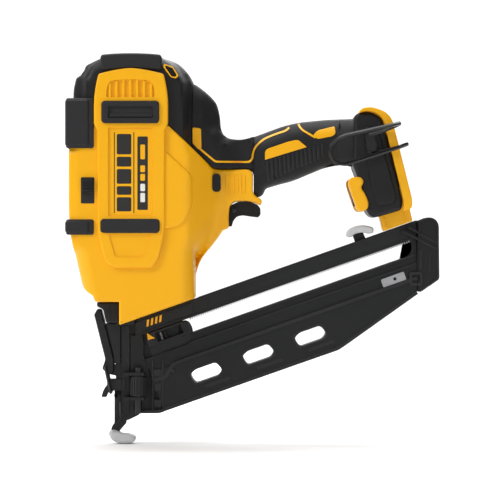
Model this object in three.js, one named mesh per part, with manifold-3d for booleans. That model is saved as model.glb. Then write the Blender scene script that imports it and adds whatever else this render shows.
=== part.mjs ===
// A cordless angled finish nailer, nose down: +Z up, +X from the front towards the battery, +Y to the
// operator's right. The origin is the middle of the contact foot's sole. Millimetres.
import * as THREE from "three";
import { mergeVertices } from "three/addons/utils/BufferGeometryUtils.js";
import Module from "manifold-3d";

const wasm = await Module();
wasm.setup();

// ---------------------------------------------------------------- driving dimensions
const gap = 0.3; // between pieces that seat on each other
const play = 0.4; // round a piece that slides or turns
const wall = 2.6; // moulded housing wall
const sliver = 0.02; // edges shorter than this are closed up

const nailX = 6; // the nail's and driver's axis
const nailSlot = 5; // width of the nail channel in the magazine

const bodyHalf = 42; // half widths, across the tool
const cheekHalf = 31;
const neckHalf = 20;
const hoodHalf = 40;
const shoulderHalf = 27;
const gripHalf = 17.5;
const footHalf = 31;
const bandHalf = 33;
const noseHalf = 7;
const magazineHalf = 13;

const magazineTilt = THREE.MathUtils.degToRad(19.4);
const railTop = 92; // heights in the magazine's tilted frame
const railBottom = 78.4;
const plateTop = 66.5;
const magazineBottom = 12.4;
const magazineRear = 247; // where its rear cap starts

const tripTravel = 8;
const flywheelRadius = 24;
const flywheelHalf = 10;
const driverHalf = 3.5; // half the driver profile's thickness

// ---------------------------------------------------------------- colours and finishes
const finish = (color, roughness, metalness) =>
  new THREE.MeshStandardMaterial({ color, roughness, metalness });
const yellow = finish(0xf6b123, 0.45, 0);
const black = finish(0x2b2b2b, 0.6, 0);
const rubber = finish(0x333333, 0.85, 0);
const casting = finish(0x262626, 0.55, 0.3);
const steel = finish(0xb8b8b8, 0.35, 1);
const darkSteel = finish(0x1c1c1c, 0.4, 0.8);
const padGrey = finish(0xb9b9b9, 0.5, 0);
const copper = finish(0xb87333, 0.4, 1);
const board = finish(0x1f5a32, 0.6, 0);
const lens = finish(0xe8e8e8, 0.1, 0);

// ---------------------------------------------------------------- shapes
const far = 400; // beyond everything
const nailer = new THREE.Group();
const magazine = new THREE.Group(); // its own x runs along the magazine, its z across it
magazine.rotation.y = -magazineTilt;
nailer.add(magazine);

// A closed outline with its corners rounded: each point is [x, z, radius]. Corners that point
// outwards get at least the radius `least`, so that a rounded rim can follow them.
function outline(points, least = 0) {
  const shape = new THREE.Shape();
  const spot = (i) => new THREE.Vector2(...points.at(i % points.length).slice(0, 2));
  const clockwise = THREE.ShapeUtils.isClockWise(points.map((_, i) => spot(i)));
  points.forEach(([x, z, radius = 0], i) => {
    const corner = spot(i);
    const before = spot(i - 1).sub(corner);
    const after = spot(i + 1).sub(corner);
    const outwards = after.cross(before) > 0 !== clockwise;
    const wanted = outwards ? Math.max(radius, least) : radius;
    const reach = wanted * Math.tan(Math.abs(Math.PI - before.angleTo(after)) / 2);
    const from = before.clone().setLength(Math.min(reach, before.length() * 0.48)).add(corner);
    const to = after.clone().setLength(Math.min(reach, after.length() * 0.48)).add(corner);
    if (i === 0) shape.moveTo(from.x, from.y);
    else shape.lineTo(from.x, from.y);
    if (reach > 0.01) shape.quadraticCurveTo(x, z, to.x, to.y);
  });
  shape.closePath();
  return shape;
}

// An outline in the XZ plane made solid between two planes of Y, its rims rounded by `round`,
// and its whole outline moved outwards by `grow`.
function slab(points, yLow, yHigh, { round = 0, grow = 0, arcs = 2, steps = 1 } = {}) {
  const shape = outline(points, round * 1.5);
  const bevelled = round > 0 || grow !== 0;
  const thickness = round > 0 ? round : 0.01;
  const geometry = new THREE.ExtrudeGeometry(shape, {
    depth: yHigh - yLow - (bevelled ? 2 * thickness : 0),
    bevelEnabled: bevelled,
    bevelThickness: thickness,
    bevelSize: round,
    bevelOffset: grow - round,
    bevelSegments: round > 0 ? steps : 1,
    curveSegments: arcs,
  });
  geometry.rotateX(Math.PI / 2);
  geometry.translate(0, yHigh - (bevelled ? thickness : 0), 0);
  return solid(geometry);
}

// A rounded rectangle as seen from above (x by y) or from the front (y by z), as a long prism.
function roundedRectangle(low, high, half, radius, lowRadius = radius) {
  return outline([
    [low, -half, lowRadius],
    [high, -half, radius],
    [high, half, radius],
    [low, half, lowRadius],
  ]);
}
function fromAbove(xLow, xHigh, half, radius) {
  const options = { depth: 2 * far, bevelEnabled: false, curveSegments: 5 };
  const prism = new THREE.ExtrudeGeometry(roundedRectangle(xLow, xHigh, half, radius), options);
  return solid(prism.translate(0, 0, -far));
}
function fromFront(zLow, zHigh, half, radius) {
  const options = { depth: 2 * far, bevelEnabled: false, curveSegments: 5 };
  const prism = new THREE.ExtrudeGeometry(roundedRectangle(zLow, zHigh, half, radius, 0), options);
  return solid(prism.translate(0, 0, -far).rotateY(-Math.PI / 2));
}

function solid(geometry) {
  const bare = geometry.clone();
  bare.deleteAttribute("normal");
  bare.deleteAttribute("uv");
  const merged = mergeVertices(bare, 1e-3);
  const index = merged.index.array;
  return new wasm.Manifold(
    new wasm.Mesh({
      numProp: 3,
      vertProperties: merged.attributes.position.array,
      triVerts: new Uint32Array(index),
    }),
  );
}

function block(xLow, xHigh, yLow, yHigh, zLow, zHigh) {
  const geometry = new THREE.BoxGeometry(xHigh - xLow, yHigh - yLow, zHigh - zLow);
  geometry.translate((xLow + xHigh) / 2, (yLow + yHigh) / 2, (zLow + zHigh) / 2);
  return solid(geometry);
}

// A cylinder between two points.
function rod(from, to, radius, sides = 20) {
  const start = new THREE.Vector3(...from);
  const along = new THREE.Vector3(...to).sub(start);
  const geometry = new THREE.CylinderGeometry(radius, radius, along.length(), sides);
  geometry.translate(0, along.length() / 2, 0);
  const up = new THREE.Vector3(0, 1, 0);
  geometry.applyQuaternion(new THREE.Quaternion().setFromUnitVectors(up, along.normalize()));
  geometry.translate(...from);
  return solid(geometry);
}

// A turned piece on an axis along Y: profile points are [radius, distance along the axis].
function turned(profile, centre, sides = 28) {
  const points = profile.map(([r, h]) => new THREE.Vector2(r, h));
  const geometry = new THREE.LatheGeometry([...points, points[0].clone()], sides);
  return solid(geometry.translate(...centre));
}

function tube(points, radius, sides = 8, steps = 40, closed = false) {
  const curve = new THREE.CatmullRomCurve3(
    points.map((p) => new THREE.Vector3(...p)),
    closed,
    "catmullrom",
    0.25,
  );
  const ring = new THREE.Shape();
  for (let i = 0; i < sides; i += 1) {
    const angle = (2 * Math.PI * i) / sides;
    ring[i ? "lineTo" : "moveTo"](radius * Math.cos(angle), radius * Math.sin(angle));
  }
  return solid(new THREE.ExtrudeGeometry(ring, { steps, extrudePath: curve, bevelEnabled: false }));
}

// A coil spring along Z.
function coil(x, y, zLow, zHigh, radius, wire, turns) {
  const perTurn = 8;
  const points = [];
  for (let i = 0; i <= turns * perTurn; i += 1) {
    const angle = (2 * Math.PI * i) / perTurn;
    const height = zLow + wire + ((zHigh - zLow - 2 * wire) * i) / (turns * perTurn);
    points.push([x + radius * Math.cos(angle), y + radius * Math.sin(angle), height]);
  }
  return tube(points, wire, 5, turns * perTurn);
}

const join = (first, ...rest) => rest.reduce((made, next) => made.add(next), first);
const cut = (first, ...rest) => rest.reduce((made, next) => made.subtract(next), first);

function add(name, made, material, parent = nailer) {
  const mesh = made.simplify(sliver).getMesh();
  const geometry = new THREE.BufferGeometry();
  geometry.setAttribute("position", new THREE.BufferAttribute(mesh.vertProperties, 3));
  geometry.setIndex(new THREE.BufferAttribute(mesh.triVerts, 1));
  geometry.computeVertexNormals();
  const piece = new THREE.Mesh(geometry, material);
  piece.name = name;
  parent.add(piece);
}

const sides = [
  ["left", -1],
  ["right", 1],
];
// Which half of a two-shell moulding: the left shell is at negative Y.
function half(whole, sign) {
  const near = gap / 2;
  return whole.intersect(
    sign < 0 ? block(-far, far, -far, -near, -far, far) : block(-far, far, near, far, -far, far),
  );
}

// ---------------------------------------------------------------- outlines, side view
const housingTop = 306;
const overmouldFoot = 262; // where the black hood ends on the front
const barrelFront = -39.1;
const barrelBack = 63.9;
const floorFront = 98.6; // the housing's underside follows the magazine rail
const floorBack = floorFront + (barrelBack - 2.1) * Math.tan(magazineTilt);
const seamZ = 226.5; // between the neck and the grip
const triggerRoof = 201.2;

const barrelOutline = [
  [-18.9, housingTop, 12],
  [11.9, housingTop + 3.2, 90],
  [42.3, housingTop, 12],
  [42.3, 261, 8],
  [barrelBack, 240.5, 8],
  [barrelBack, floorBack, 1],
  [2.1, floorFront, 1],
  [2.1, 117.6, 0.4],
  [-17.8, 117.6, 1.5],
  [-19.3, 122.6, 1.5],
  [-28, 128, 3],
  [-37.5, 171, 20],
  [barrelFront, 185, 10],
  [barrelFront, overmouldFoot, 3],
  [-18.9, overmouldFoot, 1],
];
const cheekOutline = [
  [26, 256, 2],
  [44.5, 256, 8],
  [76.6, 228.6, 8],
  [80, 212, 10],
  [77, 170, 10],
  [62, 157, 8],
  [26, 157, 2],
];
const neckOutline = [
  [40, 252.5, 2],
  [50, 252.5, 2],
  [79.3, seamZ, 4],
  [111.6, seamZ, 7],
  [111.6, 205, 4],
  [119, 201.4, 1],
  [118.4, 196.6, 1],
  [112.5, 199.4, 4],
  [104.5, triggerRoof, 12],
  [93, 199.5, 7],
  [91.2, 190, 6],
  [92, 178, 2.5],
  [87, 176.3, 3],
  [79, 166, 12],
  [64.5, 156, 8],
  [40, 156, 2],
];
const hoodOutline = [
  [-36.6, overmouldFoot + gap],
  [-36.6, 290, 8],
  [-34, 302, 6],
  [-28.7, 305.5, 3],
  [-26, 313, 8],
  [-13, 318.6, 10],
  [11.9, 320.5, 80],
  [36.4, 318.6, 20],
  [56, 312.5, 16],
  [62.8, 296, 10],
  [66, 280, 10],
  [66, 246, 3],
  [54, 246, 3],
  [44, 258, 4],
  [20, 262.6],
];
const shoulderOutline = [
  [36, 297, 2],
  [60, 296.4, 8],
  [78, 286, 14],
  [84.2, 274, 14],
  [84.4, 258, 8],
  [90, 250.8, 6],
  [100, 250.7, 5],
  [100, seamZ + gap],
  [79.5, seamZ + gap],
  [36, seamZ + gap],
];
const gripOutline = [
  [70, 250.8, 2],
  [105, 250.6, 20],
  [138.5, 264.2, 30],
  [160, 268, 30],
  [187, 268.6, 20],
  [213, 270.6, 2],
  [213, 226, 2],
  [192, 230.6, 15],
  [176, 230.6, 15],
  [146, 217.5, 15],
  [128, 213.2, 12],
  [119, 204.6, 4],
  [100, 204.6, 2],
  [100, seamZ + gap, 6],
  [70, seamZ + gap, 2],
];
const footOutline = [
  [195.6, 271.5, 2],
  [199.5, 273.6, 3],
  [206, 274, 6],
  [214, 271.6, 6],
  [218, 267, 4],
  [219.3, 262, 6],
  [234.8, 199.5, 3],
  [233.5, 192.6, 2],
  [215.5, 187.3, 2],
  [209, 186.3, 4],
  [204.6, 191.5, 5],
  [196.4, 220.5, 6],
  [194.5, 232, 3],
];
const bandOutline = [
  [200, 262, 2],
  [199.4, 276.6, 1],
  [205.3, 277.6, 5],
  [214.5, 276.4, 8],
  [222.5, 271.6, 6],
  [226, 266, 4],
  [242.4, 200, 4],
  [241.6, 194, 3],
  [222, 192, 2],
];

// ---------------------------------------------------------------- main housing and grip shells
const cavityOutline = [
  [-34, 284],
  [-30, 300],
  [-14, 315],
  [38, 315],
  [53, 309],
  [60, 292],
  [61, 238],
  [61, floorBack + wall + 0.6],
  [12, floorBack - (barrelBack - 12) * Math.tan(magazineTilt) + wall + 0.6],
  [12, 120.6],
  [-15, 120.6],
  [-25.2, 130.4],
  [-34.6, 172],
  [-36, 186],
  [-36, 262],
  [-34, 266],
];
const cavityHalf = bodyHalf - 4;

const pocketHalf = 8.8;
const triggerPocket = slab(
  [
    [89, 174],
    [121, 174],
    [121, 202],
    [116, 213],
    [92, 213],
    [90, 198],
  ],
  -pocketHalf,
  pocketHalf,
);
const switchPocket = block(94, 112, -pocketHalf, pocketHalf, 212, 223.4);
const lockButton = { x: 81.5, z: 215.2, halfWidth: 3.5, halfHeight: 7.4 };
const lockSlug = (grow, reach) =>
  slab(
    [
      [lockButton.x - lockButton.halfWidth, lockButton.z - lockButton.halfHeight, 3.4],
      [lockButton.x + lockButton.halfWidth, lockButton.z - lockButton.halfHeight, 3.4],
      [lockButton.x + lockButton.halfWidth, lockButton.z + lockButton.halfHeight, 3.4],
      [lockButton.x - lockButton.halfWidth, lockButton.z + lockButton.halfHeight, 3.4],
    ],
    -reach,
    reach,
    { grow, arcs: 5 },
  );

const stallSlot = block(-25.4, -21.6, -bodyHalf - 1, -cavityHalf + 1, 201.6, 214.4);

function housing() {
  const barrel = slab(barrelOutline, -bodyHalf, bodyHalf, { round: 1.6 });
  const plan = fromAbove(barrelFront - 0.1, barrelBack + 0.1, bodyHalf + 0.1, 15);
  const cheek = slab(cheekOutline, -cheekHalf, cheekHalf, { round: 5, steps: 2 });
  const neck = slab(neckOutline, -neckHalf, neckHalf, { round: 1 });
  const cavity = slab(cavityOutline, -cavityHalf, cavityHalf);
  const noseMouth = block(-3, 14, -14, 14, 96, 124);
  const whole = cut(
    join(barrel.intersect(plan), cheek, neck),
    cavity,
    noseMouth,
    stallSlot,
    triggerPocket,
    switchPocket,
    lockSlug(play, 60),
  );
  return whole;
}

// Everything yellow, a little larger, as the black shells are fitted round it.
const neckSeat = Math.max(neckHalf, gripHalf) + 1;
function housingSeat() {
  return join(
    slab(barrelOutline, -bodyHalf - 2, bodyHalf + 2, { grow: gap }),
    slab(cheekOutline, -cheekHalf - 1, cheekHalf + 1, { grow: gap }),
    slab(neckOutline, -neckSeat, neckSeat, { grow: gap }),
  );
}

// The yellow surround of the mode selector, on the foot's front edge.
const bezelHalf = 12;
const bezelOutline = [
  [192.3, 213, 2],
  [191.7, 216.7, 3],
  [193.6, 219.6, 3],
  [198.8, 220.5, 3],
  [202, 218.1, 3],
  [202, 214.8, 3],
  [200.2, 211.1, 4],
  [205.3, 203.5, 6],
  [206.7, 197.9, 6],
  [205.8, 193.2, 3],
  [200.7, 191.3, 3],
  [196.9, 193.2, 3],
  [195.9, 197, 2],
];

const gripCavityOutline = [
  [86, 229.6],
  [86, 246],
  [105, 247],
  [138.5, 260.4],
  [160, 264.4],
  [187, 265],
  [200, 269],
  [214, 264],
  [229.6, 200],
  [214, 193],
  [208.6, 196],
  [199.4, 226],
  [196, 234],
  [176, 234.4],
  [150, 223.4],
  [128, 217],
  [116.4, 217],
  [115, 229.6],
];
const bay = {
  half: 26,
  outline: [
    [217.4, 262],
    [262, 262],
    [272, 160],
    [241.7, 160],
  ],
};

function gripShells() {
  const hood = slab(hoodOutline, -hoodHalf, hoodHalf, { round: 2 })
    .intersect(fromAbove(-37, 66.2, hoodHalf + 0.1, 16))
    .intersect(fromFront(200, 321, hoodHalf + 0.1, 11));
  const shoulder = slab(shoulderOutline, -shoulderHalf, shoulderHalf, { round: 5, steps: 2 });
  const grip = slab(gripOutline, -gripHalf, gripHalf, { round: 5, steps: 2 });
  const foot = slab(footOutline, -footHalf, footHalf, { round: 3, steps: 2 });
  const cavity = slab(cavityOutline, -hoodHalf + 4, hoodHalf - 4);
  const gripCavity = slab(gripCavityOutline, -gripHalf + 3, gripHalf - 3);
  const bayCut = slab(bay.outline, -bay.half, bay.half);
  return cut(
    join(hood, shoulder, grip, foot),
    housingSeat(),
    cavity,
    gripCavity,
    bayCut,
    triggerPocket,
    switchPocket,
    slab(bezelOutline, -bezelHalf - gap, bezelHalf + gap, { grow: gap }),
    lockSlug(play, 60),
  );
}

const housingWhole = housing();
const gripWhole = gripShells();
for (const [side, sign] of sides) {
  add(`${side}_housing`, half(housingWhole, sign), yellow);
  add(`${side}_grip_shell`, half(gripWhole, sign), black);
}

// ---------------------------------------------------------------- bumpers, labels and lights
function topBumper() {
  const inner = slab(hoodOutline, -hoodHalf - 1, hoodHalf + 1, { grow: gap });
  const seat = slab(barrelOutline, -bodyHalf - 4, bodyHalf + 4, { grow: gap });
  const outer = slab(
    [
      [-13.4, 306.6, 1],
      [-13.4, 320, 2],
      [11.9, 322.6, 90],
      [37.2, 320, 2],
      [37.2, 306.6, 1],
      [11.9, 310.6, 90],
    ],
    -hoodHalf - 2.2,
    hoodHalf + 2.2,
    { round: 1.5 },
  );
  return cut(outer, inner, seat);
}
add("top_bumper", topBumper(), rubber);

// A bumper that wraps the front of the barrel.
function frontBumper(zLow, zHigh) {
  const outer = slab(
    [
      [-41.8, zLow, 1.5],
      [-41.8, zHigh, 1.5],
      [-18.6, zHigh, 1.5],
      [-18.6, zLow, 1.5],
    ],
    -bodyHalf - 2.4,
    bodyHalf + 2.4,
    { round: 2 },
  );
  const seat = join(
    slab(barrelOutline, -bodyHalf - gap, bodyHalf + gap, { grow: gap }),
    slab(hoodOutline, -hoodHalf - gap, hoodHalf + gap, { grow: gap }),
    slab(cavityOutline, -cavityHalf, cavityHalf),
  );
  return cut(outer, seat);
}
const upperBumper = { low: 243.2, high: 284.4 };
const lowerBumper = { low: 172.6, high: 184.8 };
add("front_upper_bumper", frontBumper(upperBumper.low, upperBumper.high), rubber);
add("front_lower_bumper", frontBumper(lowerBumper.low, lowerBumper.high), rubber);

const panelCentre = 11.5;
const stripHalf = 24;
const stripThick = 3.4;
function sideStrip(sign, zLow, zHigh, slot) {
  const corners = (inset, radius) => [
    [panelCentre - stripHalf + inset, zLow + inset, radius],
    [panelCentre - stripHalf + inset, zHigh - inset, radius],
    [panelCentre + stripHalf - inset, zHigh - inset, radius],
    [panelCentre + stripHalf - inset, zLow + inset, radius],
  ];
  const between = (near, out, round) => {
    const [low, high] = sign > 0 ? [near, out] : [-out, -near];
    return (inset, radius) => slab(corners(inset, radius), low, high, { round });
  };
  const outer = bodyHalf + stripThick;
  const bar = between(bodyHalf + gap, outer, 1)(0, 3);
  return slot ? cut(bar, between(outer - 1.6, outer + 1, 0)(5.6, 1)) : bar;
}
for (const [side, sign] of sides) {
  add(`${side}_upper_strip`, sideStrip(sign, 263, 281.6, true), rubber);
  add(`${side}_lower_strip`, sideStrip(sign, 173.8, 185.6, false), rubber);
}

// The charge and jam lights on the hood's back corner.
function indicatorOutline(inset) {
  return [
    [38.6 + inset, 312.2 - inset, 0.8],
    [46.2 - inset * 0.4, 309.4 - inset * 0.6, 1],
    [50.6 - inset, 302.6, 1],
    [48.6 - inset * 0.6, 300 + inset, 1],
    [44.4 + inset * 0.4, 301 + inset * 0.5, 1],
    [38.4 + inset, 309 + inset * 0.2, 0.8],
  ];
}
const indicatorLow = -hoodHalf - 1.2;
const indicatorHigh = -hoodHalf - gap;
add(
  "indicator_bezel",
  cut(
    slab(indicatorOutline(0), indicatorLow, indicatorHigh),
    slab(indicatorOutline(1.3), indicatorLow - 1, indicatorHigh + 1),
  ),
  yellow,
);
add("indicator_lens", slab(indicatorOutline(1.7), indicatorLow + 0.4, indicatorHigh), lens);


// ---------------------------------------------------------------- drive: frame, motor, flywheel, driver
const plateInner = 24; // the drive frame's side plates
const plateOuter = 27;
const frameFloor = 122;
const floorThick = 5;
const shaftRadius = 4;
const bearingRadius = 9;
const wheel = { x: nailX + driverHalf + play + flywheelRadius, z: 196 };
const rollerRadius = 8;
const rollerLift = 1.2; // between the roller and the driver at rest
const pinch = { x: -17, z: 222, tail: 11, pin: 2.5 };
const roller = { x: nailX - driverHalf - rollerLift - rollerRadius, z: wheel.z };
const guide = { y: 18, radius: 2, top: 286 };
const driverArm = { low: 238, high: 246, reach: 22 };
const bladeTip = 84;

const across = (x, z, reach, radius, count = 20) => rod([x, -reach, z], [x, reach, z], radius, count);

function driveFrame() {
  const plates = slab(
    [
      [-22, frameFloor + 12, 4],
      [-14, frameFloor, 1],
      [54, frameFloor + 14, 1],
      [57, 205, 10],
      [50, 226, 10],
      [-24, 232, 6],
    ],
    -plateOuter,
    plateOuter,
  );
  const between = block(-far, far, -plateInner, plateInner, frameFloor + 19, far);
  const well = block(-12, 30, -plateInner, plateInner, frameFloor + floorThick, far);
  const driverSlot = block(nailX - 7, nailX + 7, -14, 14, 0, 200);
  return cut(
    plates,
    between,
    well,
    driverSlot,
    across(wheel.x, wheel.z, 60, bearingRadius + gap, 24),
    across(pinch.x, pinch.z, 60, pinch.pin + gap, 16),
    ...sides.map(([, sign]) => {
      const y = sign * guide.y;
      return rod([nailX, y, 100], [nailX, y, 140], guide.radius + gap, 16);
    }),
  );
}
add("drive_frame", driveFrame(), casting);

const ring = (inner, outer, low, high) => [
  [inner, low],
  [outer, low],
  [outer, high],
  [inner, high],
];
const wheelCentre = [wheel.x, 0, wheel.z];
const rimInner = flywheelRadius - 5.4;
const hubPlate = 3;
const rimProfile = [
  [rimInner, -flywheelHalf],
  [flywheelRadius, -flywheelHalf],
  [flywheelRadius, flywheelHalf],
  [shaftRadius + gap, flywheelHalf],
  [shaftRadius + gap, flywheelHalf - hubPlate],
  [rimInner, flywheelHalf - hubPlate],
];
add("flywheel", turned(rimProfile, wheelCentre, 40), steel);
const statorProfile = ring(
  shaftRadius + gap,
  rimInner - play,
  -flywheelHalf - 4,
  flywheelHalf - hubPlate - play,
);
add("motor_stator", turned(statorProfile, wheelCentre, 24), copper);
const shaftReach = plateOuter + 2;
add("motor_shaft", across(wheel.x, wheel.z, shaftReach, shaftRadius), steel);
for (const [side, sign] of sides) {
  const centre = [wheel.x, (sign * (plateInner + plateOuter)) / 2, wheel.z];
  const profile = ring(shaftRadius + gap, bearingRadius, -3, 3);
  add(`${side}_bearing`, turned(profile, centre, 24), steel);
}

function driver() {
  const profile = block(nailX - driverHalf, nailX + driverHalf, -6, 6, 174, 250);
  const blade = block(nailX - 1.3, nailX + 1.3, -2.6, 2.6, bladeTip, 175);
  const { low, high, reach } = driverArm;
  const arms = block(nailX - driverHalf, nailX + driverHalf, -reach, reach, low, high);
  const bores = sides.map(([, sign]) => {
    const y = sign * guide.y;
    return rod([nailX, y, low - 1], [nailX, y, high + 1], guide.radius + play, 16);
  });
  return cut(join(profile, blade, arms), ...bores);
}
add("driver", driver(), darkSteel);
for (const [side, sign] of sides) {
  const y = sign * guide.y;
  add(`${side}_guide_rod`, rod([nailX, y, frameFloor], [nailX, y, guide.top], guide.radius, 16), steel);
  const springLow = frameFloor + floorThick + gap;
  const spring = coil(nailX, y, springLow, driverArm.low - gap, guide.radius + 1.9, 0.8, 8);
  add(`${side}_return_spring`, spring, steel);
}

function pinchArm() {
  const cheeks = slab(
    [
      [pinch.x - pinch.tail - 4, pinch.z + 3, 1],
      [pinch.x - pinch.tail - 4, pinch.z + 7, 2],
      [pinch.x + 5, pinch.z + 7, 4],
      [roller.x + 4, roller.z + 4, 3],
      [roller.x + 3, roller.z - 5, 3],
      [roller.x - 5, roller.z - 5, 3],
      [pinch.x - 5, pinch.z - 2, 3],
    ],
    -10,
    10,
  );
  const fork = block(roller.x - 12, roller.x + 12, -6.8, 6.8, roller.z - 12, roller.z + 13);
  const pins = join(
    across(pinch.x, pinch.z, plateOuter - 1, pinch.pin, 16),
    across(roller.x, roller.z, 9, 2.4, 16),
  );
  return join(cut(cheeks, fork), pins);
}
add("pinch_arm", pinchArm(), casting);
const rollerProfile = ring(2.4 + 0.05, rollerRadius, -6, 6);
add("pinch_roller", turned(rollerProfile, [roller.x, 0, roller.z], 24), steel);

const plungerX = pinch.x - pinch.tail;
const plungerFoot = pinch.z + 7 + play;
const solenoidLow = plungerFoot + 9;
const plungerRadius = 4;
function solenoid() {
  const barrel = rod([plungerX, 0, solenoidLow], [plungerX, 0, solenoidLow + 22], 7.2, 24);
  const bore = rod([plungerX, 0, 0], [plungerX, 0, solenoidLow + 18], plungerRadius + play, 20);
  return cut(barrel, bore);
}
add("solenoid", solenoid(), copper);
const plungerTop = solenoidLow + 14;
add("solenoid_plunger", rod([plungerX, 0, plungerFoot], [plungerX, 0, plungerTop], plungerRadius), steel);

// ---------------------------------------------------------------- controls
const pivot = { x: 95.5, z: 192.5, radius: 1.6 };
const triggerHalf = pocketHalf - play;
function trigger() {
  const body = slab(
    [
      [91.6, 193.4, 2],
      [93.2, 197.2, 3],
      [99.5, 200.2, 6],
      [108.8, 200.2, 6],
      [115.1, 197.6, 4],
      [117.6, 194.6, 3],
      [117.8, 189.6, 2],
      [115.9, 187, 1.5],
      [110.5, 187.6, 8],
      [102.6, 188.8, 8],
      [97.9, 187.6, 4],
      [95.1, 184.1, 4],
      [93.8, 179.5, 0.8],
      [91.2, 179.5, 0.8],
    ],
    -triggerHalf,
    triggerHalf,
    { round: 0.5 },
  );
  const post = block(104, 109, -3, 3, 196, 206.5);
  return cut(join(body, post), across(pivot.x, pivot.z, 60, pivot.radius + 0.05, 16));
}
add("trigger", trigger(), black);
add("trigger_pin", across(pivot.x, pivot.z, neckHalf - 1, pivot.radius, 16), steel);
const switchBody = block(94.5, 111.5, -triggerHalf, triggerHalf, 213.4, 223);
add("trigger_switch", join(switchBody, block(104, 109, -2, 2, 211.6, 214)), casting);

add("lock_off_button", lockSlug(0, cheekHalf - 5), black);

// The control board lies across the grip's hollow, with its parts on top.
function controlBoard() {
  const reach = gripHalf - 3 - gap;
  const chips = [150, 162, 176].map((x) => block(x, x + 7, -5, 5, 245, 249));
  return join(block(142, 188, -reach, reach, 244, 245.6), ...chips);
}
add("control_board", controlBoard(), board);

// ---------------------------------------------------------------- battery foot
function batteryBand() {
  const outer = slab(bandOutline, -bandHalf, bandHalf, { round: 2 });
  const foot = slab(footOutline, -bandHalf - 1, bandHalf + 1, { grow: gap });
  return cut(outer, foot, slab(bay.outline, -bay.half, bay.half));
}
add("battery_band", batteryBand(), yellow);
const terminal = slab(
  [
    [219.6, 255, 1],
    [226.5, 256.7, 1],
    [236.7, 213.9, 1],
    [229.9, 212.2, 1],
  ],
  -18,
  18,
);
const bladeSlots = [-12, -4, 4, 12].map((y) => block(215, 245, y - 1.2, y + 1.2, 205, 250));
const slotFloor = slab(
  [
    [210, 262],
    [221.8, 262],
    [232.4, 205],
    [210, 205],
  ],
  -30,
  30,
);
const slotCuts = bladeSlots.map((slot) => slot.subtract(slotFloor));
add("battery_terminal_block", cut(terminal, ...slotCuts), black);

// The post that joins the foot to the magazine's rail.
const postOutline = [
  [215.8, 186.8, 1],
  [219.2, 175.6, 0.5],
  [243.2, 184.1, 1],
  [240.4, 193.2, 0.5],
  [234.2, 191.8, 0.5],
];
add("foot_post", slab(postOutline, -12, 12, { round: 1 }), yellow);

const selectorHalf = 5;
const selectorPath = new THREE.Vector2(4.4, -15.3).normalize(); // along the foot's front edge
const selectorOutline = (grow) => [
  [190.9 - grow, 212 + grow * 2, 0.8],
  [194 + grow, 213.6 + grow * 2, 0.8],
  [199 + grow, 197 - grow * 2, 0.8],
  [195 - grow, 196 - grow * 2, 0.8],
];
function selectorBezel() {
  const bezel = slab(bezelOutline, -bezelHalf, bezelHalf, { round: 1 });
  const pocket = slab(selectorOutline(2.4), -selectorHalf - play, selectorHalf + play);
  return cut(bezel, pocket);
}
add("mode_selector_bezel", selectorBezel(), yellow);
add("mode_selector", slab(selectorOutline(0), -selectorHalf, selectorHalf, { round: 0.6 }), black);

const hookFace = -footHalf - gap;
const wire = 1.75;
const hookOut = -48.5;
const hookPath = [
  [206.5, hookFace - wire, 254.2],
  [214, hookFace - wire - 0.6, 256.4],
  [221, -36.2, 258.6],
  [228.4, -38.4, 261.6],
  [232.4, -41.6, 263.6],
  [229, -46.4, 262.8],
  [221, hookOut, 260.8],
  [200, hookOut, 256],
  [184.5, hookOut, 252.4],
  [176.4, hookOut, 247.2],
  [173.8, hookOut, 240.3],
  [176.4, hookOut, 233.6],
  [182.8, hookOut, 229.9],
  [190, hookOut, 230.8],
  [228, hookOut, 243],
  [234.6, -46.2, 245.6],
  [237.4, -42, 246.4],
  [233.6, -38.4, 245],
  [226, -36.2, 242.8],
  [216, hookFace - wire - 0.6, 240.2],
  [209, hookFace - wire, 238.6],
];
function beltHook() {
  const plate = slab(
    [
      [203, 257.4, 3],
      [210.5, 257.4, 3],
      [213.5, 236, 3],
      [206, 234.4, 3],
    ],
    hookFace - 2,
    hookFace,
  );
  const screwHole = rod([hookScrew.x, -60, hookScrew.z], [hookScrew.x, -20, hookScrew.z], 2.6 + gap, 16);
  return cut(join(tube(hookPath, wire, 6, 44), plate), screwHole);
}
const hookScrew = { x: 208.3, z: 246 };
add("belt_hook", beltHook(), darkSteel);
const screwAt = (depth) => [hookScrew.x, hookFace - depth, hookScrew.z];
const screwHead = rod(screwAt(2 + gap), screwAt(4.4), 4.6, 20);
add("hook_screw", join(screwHead, rod(screwAt(3), screwAt(0), 2.6, 16)), darkSteel);

const stall = { low: 206.4, high: 218.2, left: -28.2, right: -18.8, slot: 7 };
function stallLever() {
  const paddle = slab(
    [
      [stall.left, stall.low, 1],
      [stall.left, stall.high, 1],
      [stall.right, stall.high, 1],
      [stall.right, stall.low, 1],
    ],
    -bodyHalf - 3,
    -bodyHalf - gap,
    { round: 0.7 },
  );
  return join(paddle, block(-25, -22, -bodyHalf - 1, -cavityHalf + 3, 210, 214));
}
add("stall_release_lever", stallLever(), black);

// ---------------------------------------------------------------- nose
const channelHalf = 3.4; // the driver's channel
const noseBack = 9.7;
const noseFront = 2.4;
const noseLow = 20;
const headLow = 98;
const head = { front: -2.6, back: 13.6, half: 13.6, top: frameFloor - gap };
const knob = { x: 16.6, y: -noseHalf - 7.5, low: 39, high: 56, radius: 6.9, bore: 3.2 };
const bracketThick = 2.6;
const springSeat = { y: noseHalf + 5.6, z: 60 };
const claw = { inner: noseHalf - 0.4, outer: noseHalf + 1.8, low: 43.8, high: 53, front: -9.4 };
const nailSlotHalf = nailSlot / 2;

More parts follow.
